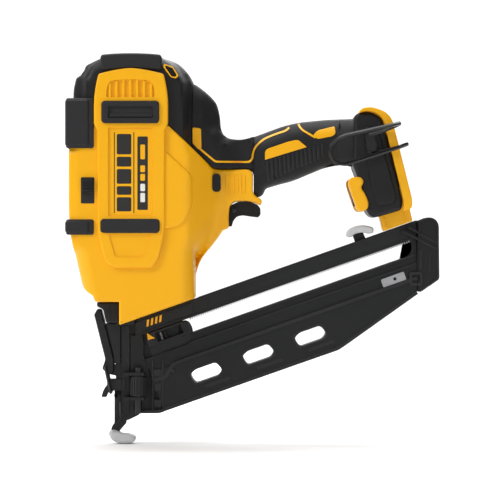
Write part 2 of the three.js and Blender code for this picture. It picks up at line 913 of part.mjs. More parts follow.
function noseBody() {
  const post = block(noseFront, noseBack, -noseHalf, noseHalf, noseLow, headLow + 1);
  const headBlock = block(head.front, head.back, -head.half, head.half, headLow, head.top);
  const profileWay = block(nailX - 4.2, nailX + 4.2, -6.8, 6.8, headLow - 1, far);
  const rodClear = sides.map(([, sign]) =>
    rod([nailX, sign * guide.y, 90], [nailX, sign * guide.y, 130], 5, 16),
  );
  const channel = block(noseFront - 1, nailX + 2.2, -channelHalf, channelHalf, 0, headLow + 2);
  const tipFront = block(-0.6, noseFront + 0.2, -noseHalf, noseHalf, noseLow, 36);
  const tipChannel = block(noseFront - 0.4, nailX + 2.2, -channelHalf, channelHalf, 0, 40);
  const nailWay = block(nailX, noseBack + 1, -nailSlotHalf, nailSlotHalf, noseLow + 4, 92);
  const tipBlock = slab(
    [
      [noseBack - 0.5, 36.4, 0.5],
      [17.2, 36.2, 0.5],
      [17.2, 23.6, 0.5],
      [noseBack - 0.5, noseLow, 0.5],
    ],
    -noseHalf,
    noseHalf,
  );
  const brackets = [knob.low - play - bracketThick, knob.high + play].flatMap((z) => [
    block(noseFront + 2.4, noseBack, knob.y - 5, -5, z, z + bracketThick),
    block(noseFront + 2.4, knob.x + 5, knob.y - 5, -noseHalf - 0.1, z, z + bracketThick),
  ]);
  const seat = block(noseFront, noseBack, 0, springSeat.y + 4, springSeat.z, springSeat.z + 3);
  const clawBars = sides.map(([, sign]) => {
    const [near, out] = sign > 0 ? [claw.inner, claw.outer] : [-claw.outer, -claw.inner];
    return block(claw.front, noseFront + 3, near, out, claw.low, claw.high);
  });
  const whole = join(post, headBlock, tipBlock, ...brackets, seat, ...clawBars);
  const screwBore = rod([knob.x, knob.y, 0], [knob.x, knob.y, 80], knob.bore, 16);
  const made = cut(whole, channel, profileWay, nailWay, screwBore, ...rodClear);
  return join(made, cut(tipFront, tipChannel));
}
add("nose_body", noseBody(), casting);

function noseCowl() {
  const shell = slab(
    [
      [-17.6, 117.2, 1],
      [-17.2, 113.2, 1],
      [-12.4, 111.2, 2],
      [-10, 100.4, 3],
      [1.6, 99.8, 1],
      [1.4, 117.2, 1],
    ],
    -17,
    17,
    { round: 1.2 },
  );
  const headWay = block(head.front - gap, far, -head.half - gap, head.half + gap, 0, far);
  return cut(shell, headWay);
}
add("nose_cowl", noseCowl(), black);

const hinge = { x: -2, z: 39.4, radius: 1.8 };
const lever = { x: -7.5, z: 60.6, inner: noseHalf - 0.8, outer: noseHalf + 2.4 };
const doorTop = 96;
function noseDoor() {
  const plate = block(-2.2, noseFront - gap, -lever.inner, lever.inner, hinge.z, doorTop);
  const barrel = across(hinge.x, hinge.z, lever.inner, hinge.radius, 16);
  const boss = slab(
    [
      [lever.x - 3, lever.z + 3, 2.5],
      [-1, lever.z + 5, 0],
      [-1, lever.z - 5, 0],
      [lever.x - 3, lever.z - 3, 2.5],
    ],
    -lever.inner + 0.6,
    lever.inner - 0.6,
  );
  return join(plate, barrel, boss, across(lever.x, lever.z, lever.outer, 1.8, 16));
}
add("nose_door", noseDoor(), casting);

const bailPin = { x: -11, z: 64.4, wire: 1.25, y: noseHalf + 4 };
const crossbar = { x: -6.2, z: claw.low - play - bailPin.wire };
function latchLever() {
  const paddle = slab(
    [
      [-20, 106.4, 1.5],
      [-17.4, 111.4, 1.5],
      [-14.2, 110.6, 1.5],
      [-3.6, 68.8, 1.5],
      [-3.8, 58, 2.5],
      [-9, 56.6, 2.5],
      [-13.4, 62, 2],
      [-10.8, 69.4, 3],
    ],
    -lever.outer,
    lever.outer,
    { round: 0.8 },
  );
  const middle = block(-40, 10, -lever.inner, lever.inner, 40, 67);
  const bores = join(
    across(lever.x, lever.z, 60, 1.85, 16),
    across(bailPin.x, bailPin.z, 60, bailPin.wire + 0.06, 12),
  );
  return cut(paddle, middle, bores);
}
add("latch_lever", latchLever(), casting);

function latchBail() {
  const { x, z, y, wire: radius } = bailPin;
  const legs = sides.flatMap(([, sign]) => [
    rod([x, sign * (lever.outer - 2), z], [x, sign * (y + radius), z], radius, 12),
    rod([x, sign * y, z], [crossbar.x, sign * y, crossbar.z], radius, 12),
  ]);
  return join(across(crossbar.x, crossbar.z, y + radius, radius, 12), ...legs);
}
add("latch_bail", latchBail(), darkSteel);

const knobSides = 24;
function depthWheel() {
  const barrel = rod([knob.x, knob.y, knob.low], [knob.x, knob.y, knob.high], knob.radius, knobSides);
  return cut(barrel, rod([knob.x, knob.y, 0], [knob.x, knob.y, 99], knob.bore, 16));
}
add("depth_wheel", depthWheel(), rubber);
const stopFoot = 25;
const stopScrew = rod([knob.x, knob.y, stopFoot], [knob.x, knob.y, knob.high + 7], knob.bore - gap, 16);
add("depth_stop", stopScrew, darkSteel);

const armTop = stopFoot - 2.5 - tripTravel;
const tripSpringFoot = 32;
const strip = { inner: noseHalf + 0.5, outer: noseHalf + 2.1 }; // the trip's side strips
function contactTrip() {
  const strips = sides.map(([, sign]) => {
    const [near, out] = sign > 0 ? [strip.inner, strip.outer] : [-strip.outer, -strip.inner];
    return block(-3.3, 4, near, out, 9.5, 35);
  });
  const collar = block(-3.3, 11, -strip.outer, strip.outer, 9.2, noseLow - tripTravel - gap);
  const stopArm = block(0, knob.x + 3, knob.y - 3, 0, armTop - 3.4, armTop);
  const springArm = block(3, 9, strip.inner, springSeat.y + 4, tripSpringFoot - 3, tripSpringFoot);
  const way = block(nailX - 2.8, nailX + 2.8, -channelHalf, channelHalf, 0, 20);
  const noseClear = block(-9, 20, -strip.inner, strip.inner, noseLow - tripTravel - gap, 60);
  return cut(join(...strips, collar, stopArm, springArm), noseClear, way);
}
add("contact_trip", contactTrip(), casting);
const tripSpring = coil(nailX, springSeat.y, tripSpringFoot + gap, springSeat.z - gap, 2.9, 0.6, 5);
add("trip_spring", tripSpring, steel);

const padHalf = noseHalf + 2;
function padShape(points, low = -padHalf, high = padHalf) {
  return slab(points, low, high, { round: 0.8 });
}
function noMarPad() {
  const pad = padShape([
    [-8, 8.6, 1.5],
    [-7, 11.4, 2],
    [-1.4, 11.4, 1.5],
    [0.6, 8.9, 2],
    [11.2, 8.9, 3],
    [15.5, 5.6, 2.5],
    [14.6, 2, 2.5],
    [11, 0, 3],
    [-1.5, 0, 3],
    [-5.4, 3, 4],
  ]);
  return cut(
    pad,
    block(nailX - 2.6, nailX + 2.6, -channelHalf, channelHalf, -1, 20),
    block(-3.6, 20, -padHalf - 1, padHalf + 1, 8.9, 20),
  );
}
add("no_mar_pad", noMarPad(), padGrey);

// ---------------------------------------------------------------- magazine, in its own tilted frame
const cosTilt = Math.cos(magazineTilt);
const sinTilt = Math.sin(magazineTilt);
const tilted = ([x, z, radius = 0]) => [
  x * cosTilt + z * sinTilt,
  z * cosTilt - x * sinTilt,
  radius,
];
const heightAt = (v, x) => (v + x * sinTilt) / cosTilt; // height of a line of the magazine over x
const railFront = head.back + gap;
const rearTop = heightAt(railTop, magazineRear); // top of the rail where it meets the rear cap
const railHalf = 9;
const bandHeight = 58.3; // where the channel narrows into its upper band
const stepHeight = 46;
const channelFloor = 15.4;
const narrowHalf = noseHalf - 0.2;
const innerBand = 9;

const railOutline = [
  [railFront, heightAt(railTop, railFront), 0.5],
  [magazineRear, heightAt(railTop, magazineRear), 0.5],
  [magazineRear, heightAt(railBottom, magazineRear), 0.5],
  [railFront, heightAt(railBottom, railFront), 0.5],
].map(tilted);
add("magazine_rail", slab(railOutline, -railHalf, railHalf), casting, magazine);

const channelStart = noseBack + gap;
const lowerEdge = heightAt(magazineBottom, 38.5);
const channelOutline = [
  [channelStart, heightAt(bandHeight, channelStart), 0.5],
  [channelStart, 36.4 + gap, 0.5],
  [17.2 + gap, 36.4 + gap, 0.5],
  [17.2 + gap, 25, 1],
  [33.5, 25, 2],
  [38.5, lowerEdge, 2],
  [182.4, heightAt(magazineBottom, 182.4), 12],
  [magazineRear, rearTop - 61.3, 1],
  [magazineRear, heightAt(plateTop, magazineRear), 0.5],
  [62, heightAt(plateTop, 62), 2],
  [58, heightAt(bandHeight, 58), 0.5],
].map(tilted);

// The nails' slot keeps a floor over the channel's straight and slanted undersides.
const nailWayOutline = [
  [noseBack - 2, heightAt(channelFloor, noseBack - 2)],
  [181, heightAt(channelFloor, 181)],
  [magazineRear + 2, rearTop - 54.5],
  [magazineRear + 2, rearTop + 55],
  [noseBack - 2, 140],
].map(tilted);
const windows = { first: 75, pitch: 45.6, count: 3, long: 26.6, low: 25.6, high: 36.6 };
function windowCut(index) {
  const start = windows.first + index * windows.pitch;
  return slab(
    [
      [start, windows.high - 2.4, 3],
      [start + 6, windows.high, 3],
      [start + windows.long - 3, windows.high, 3],
      [start + windows.long, windows.low + 3.4, 3],
      [start + windows.long - 4.6, windows.low, 3],
      [start + 2, windows.low, 3],
    ],
    -30,
    30,
  );
}

function magazineChannel() {
  const core = slab(channelOutline, -narrowHalf, narrowHalf);
  const widening = tilted([28.6, 53])[0];
  const body = core.add(
    slab(channelOutline, -magazineHalf, magazineHalf).intersect(
      block(widening, 400, -50, 50, -50, bandHeight),
    ),
  );
  const band = slab(channelOutline, -innerBand, innerBand).intersect(
    block(widening + 26, 400, -50, 50, bandHeight - 1, 90),
  );
  // A shallow step along both sides, above the windows.
  const steps = sides.map(([, sign]) => {
    const [near, out] = sign > 0 ? [magazineHalf - 2, 30] : [-30, -magazineHalf + 2];
    return block(widening - 5, 400, near, out, stepHeight, 90);
  });
  const nailWay = slab(nailWayOutline, -nailSlotHalf, nailSlotHalf);
  const cuts = Array.from({ length: windows.count }, (_, i) => windowCut(i));
  return cut(join(body, band), ...steps, nailWay, ...cuts);
}
add("magazine_channel", magazineChannel(), black, magazine);

const capOutline = [
  [gap, -0.4, 1],
  [7.9, 2.1, 3],
  [13.4, 2.1, 3],
  [17.8, -2.5, 3],
  [18.2, -48.9, 2],
  [11.1, -53.7, 4],
  [3.4, -59.1, 2],
  [gap, -59.1, 1],
].map(([x, z, radius]) => tilted([magazineRear + x, rearTop + z, radius]));
function rearCap() {
  const cap = slab(capOutline, -magazineHalf, magazineHalf, { round: 0.8 });
  return cut(cap, block(-60, 400, -nailSlotHalf, nailSlotHalf, 47, 120));
}
add("magazine_rear_cap", rearCap(), black, magazine);

const pusherAt = { start: 48, end: 84.6 };
const followerFoot = 33; // clear of the slot's slanted floor at the back
function pusher() {
  const { start, end } = pusherAt;
  const follower = block(start, end, -nailSlotHalf + play, nailSlotHalf - play, followerFoot, 60);
  const frame = slab(
    [
      [start + 3, plateTop + play, 1],
      [start + 3, railBottom - 3.4, 1],
      [start + 6, railBottom - play, 1],
      [end, railBottom - play, 1],
      [end, plateTop + play, 1],
    ],
    -8,
    8,
  );
  const opening = block(start + 9, end - 6, -20, 20, plateTop + 3, railBottom - 3);
  const skirtOuter = block(start, end, -11, 11, bandHeight + play, plateTop + 2);
  const skirtInner = block(start - 1, end + 1, -innerBand - play, innerBand + play, 0, plateTop + play);
  const web = block(start, end, -nailSlotHalf + play, nailSlotHalf - play, 58, plateTop + 1);
  return join(cut(frame, opening), cut(skirtOuter, skirtInner), web, follower);
}
add("pusher", pusher(), black, magazine);

const plateFace = -magazineHalf + 2 - gap;
add(
  "spring_plate",
  cut(
    slab(
      [
        [249.7, 48.6, 1],
        [249.7, 55.6, 1],
        [269.8, 55.8, 1],
        [269.8, 48.8, 1],
      ],
      plateFace - 1.2,
      plateFace,
    ),
    rod([261, -60, 52.4], [261, 60, 52.4], 1.4, 12),
  ),
  steel,
  magazine,
);

// The spare pad is kept on a post on the rail.
const spareLift = railTop + gap;
const spareOutline = [
  [234.4, 5, 1],
  [235.8, 10.6, 2],
  [242, 12.4, 3],
  [251.5, 10.4, 3],
  [258.8, 5.4, 2],
  [257.8, 1.2, 1.5],
  [253.4, 1.2, 1.5],
  [250, 4, 2],
].map(([u, lift, radius]) => [u, spareLift + lift, radius]);
add("spare_pad", padShape(spareOutline), padGrey, magazine);
const padPost = slab(
  [
    [240.6, spareLift],
    [240.6, spareLift + 4.1],
    [249, spareLift + 3.6],
    [249.4, spareLift],
  ],
  -5,
  5,
);
add("spare_pad_post", padPost, black, magazine);

export default nailer;
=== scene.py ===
"""A cordless finish nailer dressed around its working frame. Shapes are written in millimetres."""
import math

import bmesh
import bpy
import numpy as np
from mathutils import Matrix, Vector
from mathutils.bvhtree import BVHTree


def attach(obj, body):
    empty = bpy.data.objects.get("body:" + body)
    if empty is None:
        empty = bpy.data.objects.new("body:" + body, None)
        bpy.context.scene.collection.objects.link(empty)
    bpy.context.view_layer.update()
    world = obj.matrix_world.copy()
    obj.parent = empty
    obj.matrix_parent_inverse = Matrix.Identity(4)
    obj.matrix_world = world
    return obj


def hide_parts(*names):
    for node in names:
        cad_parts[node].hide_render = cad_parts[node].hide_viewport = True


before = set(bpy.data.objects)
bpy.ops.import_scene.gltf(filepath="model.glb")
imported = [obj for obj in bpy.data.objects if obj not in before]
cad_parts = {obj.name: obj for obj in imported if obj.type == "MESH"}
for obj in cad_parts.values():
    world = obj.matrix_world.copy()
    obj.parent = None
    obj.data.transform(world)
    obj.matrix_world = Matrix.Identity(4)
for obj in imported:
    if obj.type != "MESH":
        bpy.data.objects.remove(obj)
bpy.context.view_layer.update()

scene = bpy.context.scene
MM = 0.001
SIDES = (-1, 1)
LEFT = SIDES[0]
SIDE_NAME = {-1: "left", 1: "right"}
TILT = math.radians(19.4)  # the magazine's slope


# ---------------------------------------------------------------- camera, floor and light
def place_camera():
    data = bpy.data.cameras.new("camera")
    data.lens = 200
    data.sensor_width = 36
    data.clip_end = 30
    camera = bpy.data.objects.new("camera", data)
    camera.location = (0.109, -2.308, 0.160)
    camera.rotation_euler = (math.pi / 2, 0, 0)
    scene.collection.objects.link(camera)
    scene.camera = camera


def soft_light(name, place, target, size, power):
    data = bpy.data.lights.new(name, "AREA")
    data.shape = "RECTANGLE"
    data.size, data.size_y = size
    data.energy = power
    lamp = bpy.data.objects.new(name, data)
    lamp.location = place
    aim = Vector(target) - Vector(place)
    lamp.rotation_euler = aim.to_track_quat("-Z", "Y").to_euler()
    scene.collection.objects.link(lamp)


def studio():
    world = bpy.data.worlds.new("studio")
    world.use_nodes = True
    world.node_tree.nodes["Background"].inputs["Color"].default_value = (1, 1, 1, 1)
    world.node_tree.nodes["Background"].inputs["Strength"].default_value = 0.16
    scene.world = world
    scene.view_settings.view_transform = "Standard"
    middle = (0.1, 0, 0.16)
    soft_light("key", (-1.7, -1.0, 1.5), middle, (0.6, 0.6), 32)
    soft_light("fill", (0.9, -2.2, 0.5), middle, (1.4, 1.4), 5)
    soft_light("overhead", (0.1, 0.2, 1.9), middle, (1.4, 1.2), 14)
    soft_light("back", (0.6, 1.5, 1.2), middle, (1.2, 0.8), 12)
    soft_light("backdrop", (0.1, 1.0, 3.2), (0.1, 3.2, 0.4), (3.5, 1.2), 110)
    soft_light("foreground", (0.1, -1.4, 2.9), (0.1, -0.6, 0), (3.0, 1.2), 20)


def sweep():
    mesh = bmesh.new()
    near = mesh.verts.new((-6, -5, 0))
    far = mesh.verts.new((-6, 2.4, 0))
    mesh.edges.new((near, far))
    turn = bmesh.ops.spin(
        mesh, geom=[far], cent=(0, 2.4, 1.2), axis=(1, 0, 0), angle=math.pi / 2, steps=16
    )
    top = [g for g in turn["geom_last"] if isinstance(g, bmesh.types.BMVert)]
    grown = bmesh.ops.extrude_vert_indiv(mesh, verts=top)["verts"]
    bmesh.ops.translate(mesh, vec=(0, 0, 3), verts=grown)
    across = bmesh.ops.extrude_edge_only(mesh, edges=mesh.edges[:])["geom"]
    moved = [g for g in across if isinstance(g, bmesh.types.BMVert)]
    bmesh.ops.translate(mesh, vec=(12, 0, 0), verts=moved)
    bmesh.ops.translate(mesh, vec=(0, 0, -0.0006), verts=mesh.verts)
    data = bpy.data.meshes.new("floor")
    mesh.to_mesh(data)
    for face in data.polygons:
        face.use_smooth = True
    floor = bpy.data.objects.new("floor", data)
    scene.collection.objects.link(floor)
    paint = bpy.data.materials.new("paper")
    paint.use_nodes = True
    shader = paint.node_tree.nodes["Principled BSDF"]
    shader.inputs["Base Color"].default_value = (0.93, 0.93, 0.93, 1)
    shader.inputs["Roughness"].default_value = 0.9
    data.materials.append(paint)


place_camera()
studio()
sweep()


# ---------------------------------------------------------------- finishes
def linear(red, green, blue):
    """A colour from its usual 0 to 255 values."""
    return [
        c / 12.92 if c <= 0.04045 else ((c + 0.055) / 1.055) ** 2.4
        for c in (red / 255, green / 255, blue / 255)
    ] + [1]


def finish(
    name,
    colour,
    rough=0.5,
    metal=0.0,
    tint=0.92,
    patch=35,
    grain=1400,
    bump=0.05,
    spread=0.08,
    stretch=(1, 1, 1),
    specular=0.5,
):
    """A moulded or metal finish: slow colour drift, fine grain in the surface, uneven gloss."""
    made = bpy.data.materials.new(name)
    made.use_nodes = True
    nodes, links = made.node_tree.nodes, made.node_tree.links
    shader = nodes["Principled BSDF"]
    shader.inputs["Metallic"].default_value = metal
    shader.inputs["Specular IOR Level"].default_value = specular
    where = nodes.new("ShaderNodeTexCoord")
    turn = nodes.new("ShaderNodeMapping")
    turn.inputs["Scale"].default_value = stretch
    links.new(where.outputs["Object"], turn.inputs["Vector"])

    def noise(scale, detail):
        made_noise = nodes.new("ShaderNodeTexNoise")
        made_noise.inputs["Scale"].default_value = scale
        made_noise.inputs["Detail"].default_value = detail
        links.new(turn.outputs["Vector"], made_noise.inputs["Vector"])
        return made_noise.outputs["Fac"]

    drift = nodes.new("ShaderNodeMix")
    drift.data_type = "RGBA"
    light = linear(*colour)
    drift.inputs["A"].default_value = [c * tint for c in light[:3]] + [1]
    drift.inputs["B"].default_value = light
    links.new(noise(patch, 3), drift.inputs["Factor"])
    links.new(drift.outputs["Result"], shader.inputs["Base Color"])
    fine = noise(grain, 2)
    gloss = nodes.new("ShaderNodeMapRange")
    gloss.inputs["To Min"].default_value = rough - spread
    gloss.inputs["To Max"].default_value = rough + spread
    links.new(noise(patch * 4, 4), gloss.inputs["Value"])
    links.new(gloss.outputs["Result"], shader.inputs["Roughness"])
    relief = nodes.new("ShaderNodeBump")
    relief.inputs["Strength"].default_value = bump
    relief.inputs["Distance"].default_value = 0.0004
    links.new(fine, relief.inputs["Height"])
    links.new(relief.outputs["Normal"], shader.inputs["Normal"])
    return made


LOOKS = {
    "yellow": finish("moulded_yellow", (244, 176, 0), rough=0.4, tint=0.95, bump=0.1, specular=0.36),
    "black": finish(
        "moulded_black", (23, 23, 25), rough=0.5, tint=0.8, grain=2200, bump=0.22, specular=0.3
    ),
    "grip": finish("soft_grip", (26, 26, 28), rough=0.62, tint=0.8, grain=2600, bump=0.3, specular=0.28),
    # Real rubber for bumpers, pads and paddles; on the magazine's ridges this lighter finish is a painted
    # highlight along their edges.
    "rubber": finish(
        "bumper_rubber_and_ridge_highlight", (36, 36, 38), rough=0.58, tint=0.85, grain=2600, bump=0.25, specular=0.3
    ),
    "casting": finish(
        "black_casting", (28, 29, 30), rough=0.42, metal=0.25, tint=0.8, grain=1800, bump=0.25, specular=0.4
    ),
    "magazine": finish("moulded_magazine", (17, 18, 19), rough=0.44, tint=0.8, bump=0.2, specular=0.32),
    "deep": finish("shadowed_black", (17, 19, 19), rough=0.62, tint=0.8, bump=0.1),
    "steel": finish(
        "bright_steel", (176, 176, 178), rough=0.32, metal=1, tint=0.86, stretch=(1, 1, 12), bump=0.08
    ),
    "dark_steel": finish("black_oxide", (9, 9, 10), rough=0.3, tint=0.8, bump=0.06, specular=0.5),
    "pad": finish("pad_rubber", (196, 197, 198), rough=0.4, tint=0.95, bump=0.06),
    "copper": finish("lacquered_copper", (176, 98, 42), rough=0.35, metal=1, stretch=(1, 14, 1)),
    "lens": finish("dark_lens", (30, 26, 18), rough=0.16, tint=0.8, bump=0.0),
    "ink": finish("printed_black", (28, 27, 26), rough=0.5, tint=0.9, bump=0.05),
    "white_ink": finish("printed_white", (232, 230, 224), rough=0.5, bump=0.05),
}


# ---------------------------------------------------------------- modelling
def outline(mesh, corners, y, arcs=5):
    """A flat face in the plane of that Y: each corner is (x, z, reach of its rounding)."""
    points = [mesh.verts.new((x, y, z)) for x, z, *_ in corners]
    mesh.faces.new(points)
    for point, (_, _, *reach) in zip(points, corners):
        if reach and reach[0] > 0:
            bmesh.ops.bevel(
                mesh,
                geom=[point],
                offset=reach[0],
                offset_type="OFFSET",
                segments=arcs,
                profile=0.5,
                affect="VERTICES",
                clamp_overlap=True,
                material=-1,
            )
    bmesh.ops.remove_doubles(mesh, verts=mesh.verts, dist=0.08)
    mesh.faces.ensure_lookup_table()
    return mesh.faces[0]


def flat_faces(mesh, y):
    return [f for f in mesh.faces if all(abs(v.co.y - y) < 1e-4 for v in f.verts)]


def eased(corners, rim):
    """The corners, with those that point outwards rounded enough for a rim of that size to follow."""
    spots = [Vector(c[:2]) for c in corners]
    area = sum(a.cross(b) for a, b in zip(spots, spots[1:] + spots[:1]))
    made = []
    for i, (x, z, *rest) in enumerate(corners):
        before = spots[i] - spots[i - 1]
        after = spots[(i + 1) % len(spots)] - spots[i]
        turn = before.angle_signed(after)
        reach = rest[0] if rest else 0
        if turn * area < 0:
            reach = max(reach, 1.15 * rim * math.tan(abs(turn) / 2))
        made.append((x, z, reach))
    return made


def slab(corners, inner, outer, side=1, rim=0.0, steps=3, arcs=5, back=0.0):
    """An outline made solid from Y = inner to outer on one side, with a rounded outer rim.
    A back rim rounds the inner edge."""
    near, far = side * inner, side * outer
    mesh = bmesh.new()
    face = outline(mesh, eased(corners, max(rim, back)), near, arcs)
    grown = bmesh.ops.extrude_face_region(mesh, geom=[face])["geom"]
    moved = [g for g in grown if isinstance(g, bmesh.types.BMVert)]
    bmesh.ops.translate(mesh, vec=(0, far - near, 0), verts=moved)
    bmesh.ops.recalc_face_normals(mesh, faces=mesh.faces)
    for level, reach in ((far, rim), (near, back)):
        if reach > 0:
            top = max(flat_faces(mesh, level), key=lambda f: f.calc_area())
            bmesh.ops.bevel(
                mesh,
                geom=top.edges[:],
                offset=reach,
                offset_type="OFFSET",
                segments=steps,
                profile=0.5,
                affect="EDGES",
                clamp_overlap=False,
                material=-1,
            )
    bmesh.ops.recalc_face_normals(mesh, faces=mesh.faces)
    return mesh


def both(corners, inner, outer, **rims):
    """The same slab on the left and on the right."""
    return [slab(corners, inner, outer, side, **rims) for side in SIDES]


def carved(mesh, *cutters):
    """The part with the cutters taken out of it."""
    holders = []
    for source in (mesh, *cutters):
        data = bpy.data.meshes.new("carving")
        source.to_mesh(data)
        source.free()
        holders.append(bpy.data.objects.new("carving", data))
        scene.collection.objects.link(holders[-1])
    for cutter in holders[1:]:
        cut = holders[0].modifiers.new("cut", "BOOLEAN")
        cut.operation = "DIFFERENCE"
        cut.solver = "EXACT"
        cut.object = cutter
    ready = bpy.context.evaluated_depsgraph_get()
    ready.update()
    made = bmesh.new()
    made.from_mesh(holders[0].evaluated_get(ready).data)
    for holder in holders:
        data = holder.data
        bpy.data.objects.remove(holder)
        bpy.data.meshes.remove(data)
    bmesh.ops.remove_doubles(made, verts=made.verts, dist=1e-4)
    return made


# Heights of a curved side are worked out over the whole outline at once.
def reach_in(corners, x, z):
    """How far inside a closed outline each spot is; negative outside."""
    start = np.array([c[:2] for c in corners], float)
    end = np.roll(start, -1, 0)
    above = start[:, 1] > z[:, None], end[:, 1] > z[:, None]
    rise = np.where(end[:, 1] == start[:, 1], 1e-9, end[:, 1] - start[:, 1])
    crossing = (end[:, 0] - start[:, 0]) * (z[:, None] - start[:, 1]) / rise + start[:, 0]
    inside = ((above[0] != above[1]) & (x[:, None] < crossing)).sum(1) % 2 == 1
    away = off_line(list(corners) + [corners[0]], x, z)
    return np.where(inside, away, -away)


def off_line(path, x, z):
    """How far each spot is from a line through the points."""
    points = np.array([c[:2] for c in path], float)
    start, run = points[:-1], np.diff(points, axis=0)
    spots = np.stack([x, z], 1)[:, None, :]
    share = ((spots - start) * run).sum(-1) / np.maximum((run**2).sum(-1), 1e-9)
    nearest = start + np.clip(share, 0, 1)[..., None] * run
    return np.sqrt(((spots - nearest) ** 2).sum(-1)).min(1)


def dome(away, reach):
    """0 at an edge, rising along a quarter circle to 1 at that reach from it."""
    return np.sqrt(np.maximum(1 - (1 - np.clip(away / reach, 0, 1)) ** 2, 0))


def ease(share):
    """A smooth step from 0 to 1."""
    share = np.clip(share, 0, 1)
    return share * share * (3 - 2 * share)


def higher(one, two, blend):
    """The higher of two surfaces, with a soft crease where they meet."""
    return (one + two + np.sqrt((one - two) ** 2 + blend**2)) / 2


def skin(corners, side, inner, height, rings=(0.35, 0.55, 0.9), cell=2.1, arcs=6):
    """A curved side: an outline laid out flat, then raised by height(x, z, distance to the edge)."""
    mesh = bmesh.new()
    face = outline(mesh, corners, 0, arcs)
    edge_line = [(v.co.x, v.co.z) for v in face.verts]
    for step in rings:
        bmesh.ops.inset_region(
            mesh, faces=[face], thickness=step, use_even_offset=True, use_boundary=True
        )
    for axis in (0, 2):
        spread = [v.co[axis] for v in mesh.verts]
        low, high = min(spread), max(spread)
        count = int((high - low) / cell)
        for i in range(1, count + 1):
            at, way = [0, 0, 0], [0, 0, 0]
            at[axis] = low + (high - low) * i / (count + 1)
            way[axis] = 1
            geom = mesh.verts[:] + mesh.edges[:] + mesh.faces[:]
            bmesh.ops.bisect_plane(mesh, geom=geom, plane_co=at, plane_no=way)
    bmesh.ops.remove_doubles(mesh, verts=mesh.verts, dist=0.03)
    x, z = (np.array([v.co[axis] for v in mesh.verts]) for axis in (0, 2))
    inside = reach_in(edge_line, x, z)
    for i in np.flatnonzero(inside < -0.02):  # a corner tighter than its rings is pulled back in
        gaps = [math.dist((x[i], z[i]), spot) for spot in edge_line]
        x[i], z[i] = edge_line[gaps.index(min(gaps))]
    for v, across, up in zip(mesh.verts, x, z):
        v.co.x, v.co.z = across, up
    levels = height(x, z, np.maximum(inside, 0))
    for v, level in zip(mesh.verts, levels):
        v.co.y = side * level
    rim = [e for e in mesh.edges if e.is_boundary]
    walls = bmesh.ops.extrude_edge_only(mesh, edges=rim)["geom"]
    for v in walls:
        if isinstance(v, bmesh.types.BMVert):
            v.co.y = side * inner
    bmesh.ops.recalc_face_normals(mesh, faces=mesh.faces)
    if sum(f.normal.y * f.calc_area() for f in mesh.faces) * side < 0:
        bmesh.ops.reverse_faces(mesh, faces=mesh.faces)
    return mesh


def tilted(mesh):
    """Turns a part drawn along the magazine into its place."""
    bmesh.ops.rotate(mesh, cent=(0, 0, 0), matrix=Matrix.Rotation(-TILT, 3, "Y"), verts=mesh.verts)
    return mesh


def dress(obj, look, body, stands_for):
    """Give an object its look and body, and hide the nodes it stands for."""
    obj.data.materials.append(LOOKS[look])
    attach(obj, body)
    if stands_for:
        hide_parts(*stands_for)
    return obj


def piece(name, parts, look, body="tool", stands_for=(), crease=32):
    """Joins the parts into one named piece in metres."""
    data = bpy.data.meshes.new(name)
    joined = bmesh.new()
    for part in parts:
        part.to_mesh(data)
        joined.from_mesh(data)
        part.free()
    data.clear_geometry()
    bmesh.ops.scale(joined, vec=(MM, MM, MM), verts=joined.verts)
    joined.to_mesh(data)
    joined.free()
    for face in data.polygons:
        face.use_smooth = True
    data.set_sharp_from_angle(angle=math.radians(crease))
    obj = bpy.data.objects.new(name, data)
    scene.collection.objects.link(obj)
    level = obj.modifiers.new("level", "WEIGHTED_NORMAL")
    level.keep_sharp = True
    level.weight = 60
    return dress(obj, look, body, stands_for)


def surface_of(parts):
    """What a draped part lies on, as a tree to cast on."""
    whole = bmesh.new()
    data = bpy.data.meshes.new("surface")
    for part in parts:
        part.to_mesh(data)
        whole.from_mesh(data)
    tree = BVHTree.FromBMesh(whole)
    whole.free()
    bpy.data.meshes.remove(data)
    return tree


def draped(corners, tree, side, lift=0.5, sunk=0.6, cell=2.0, arcs=4, rim=0.0):
    """An outline laid over a curved side: it stands `lift` proud of what is under it."""

    def height(x, z, edge):
        levels, last = [], 20
        for across, up in zip(x, z):
            hit = tree.ray_cast(Vector((across, side * 120, up)), Vector((0, -side, 0)))[0]
            last = abs(hit.y) if hit else last
            levels.append(last)
        rounding = rim * (1 - dome(edge, rim)) if rim else 0
        return np.array(levels) + lift - rounding

    rings = (rim * 0.3, rim * 0.7) if rim else (0.25,)
    made = skin(corners, side, 0, height, rings=rings, cell=cell, arcs=arcs)
    walls = [v for v in made.verts if v.co.y == 0]
    for v in walls:
        top = max((e.other_vert(v).co.y * side for e in v.link_edges), default=0)
        v.co.y = side * (top - lift - sunk)
    return made


def rectangle(x, z, reach):
    """Four corners between two X and two Z, each rounded over a reach."""
    return [(x[0], z[0], reach), (x[0], z[1], reach), (x[1], z[1], reach), (x[1], z[0], reach)]


def soften(obj, width):
    """Eases the hard edges of a carved piece."""
    ease_edges = obj.modifiers.new("soften", "BEVEL")
    ease_edges.width = width * MM
    ease_edges.segments = 2
    ease_edges.limit_method = "ANGLE"
    ease_edges.angle_limit = math.radians(38)
    obj.modifiers.move(len(obj.modifiers) - 1, 0)


def ribbon(path, width):
    """The outline of a strip of that width along a path of (x, z) points, its bends rounded."""
    left, right = [], []
    for i, (x, z, *rest) in enumerate(path):
        before = Vector(path[max(i - 1, 0)][:2])
        after = Vector(path[min(i + 1, len(path) - 1)][:2])
        here = Vector((x, z))
        one = (here - before).normalized() if i else (after - here).normalized()
        two = (after - here).normalized() if i < len(path) - 1 else one
        way = (one + two).normalized()
        out = Vector((-way.y, way.x)) * width / 2 / max(way.dot(one), 0.5)
        reach = rest[0] if rest else 0
        left.append((*(here + out), reach))
        right.append((*(here - out), reach))
    return left + right[::-1]


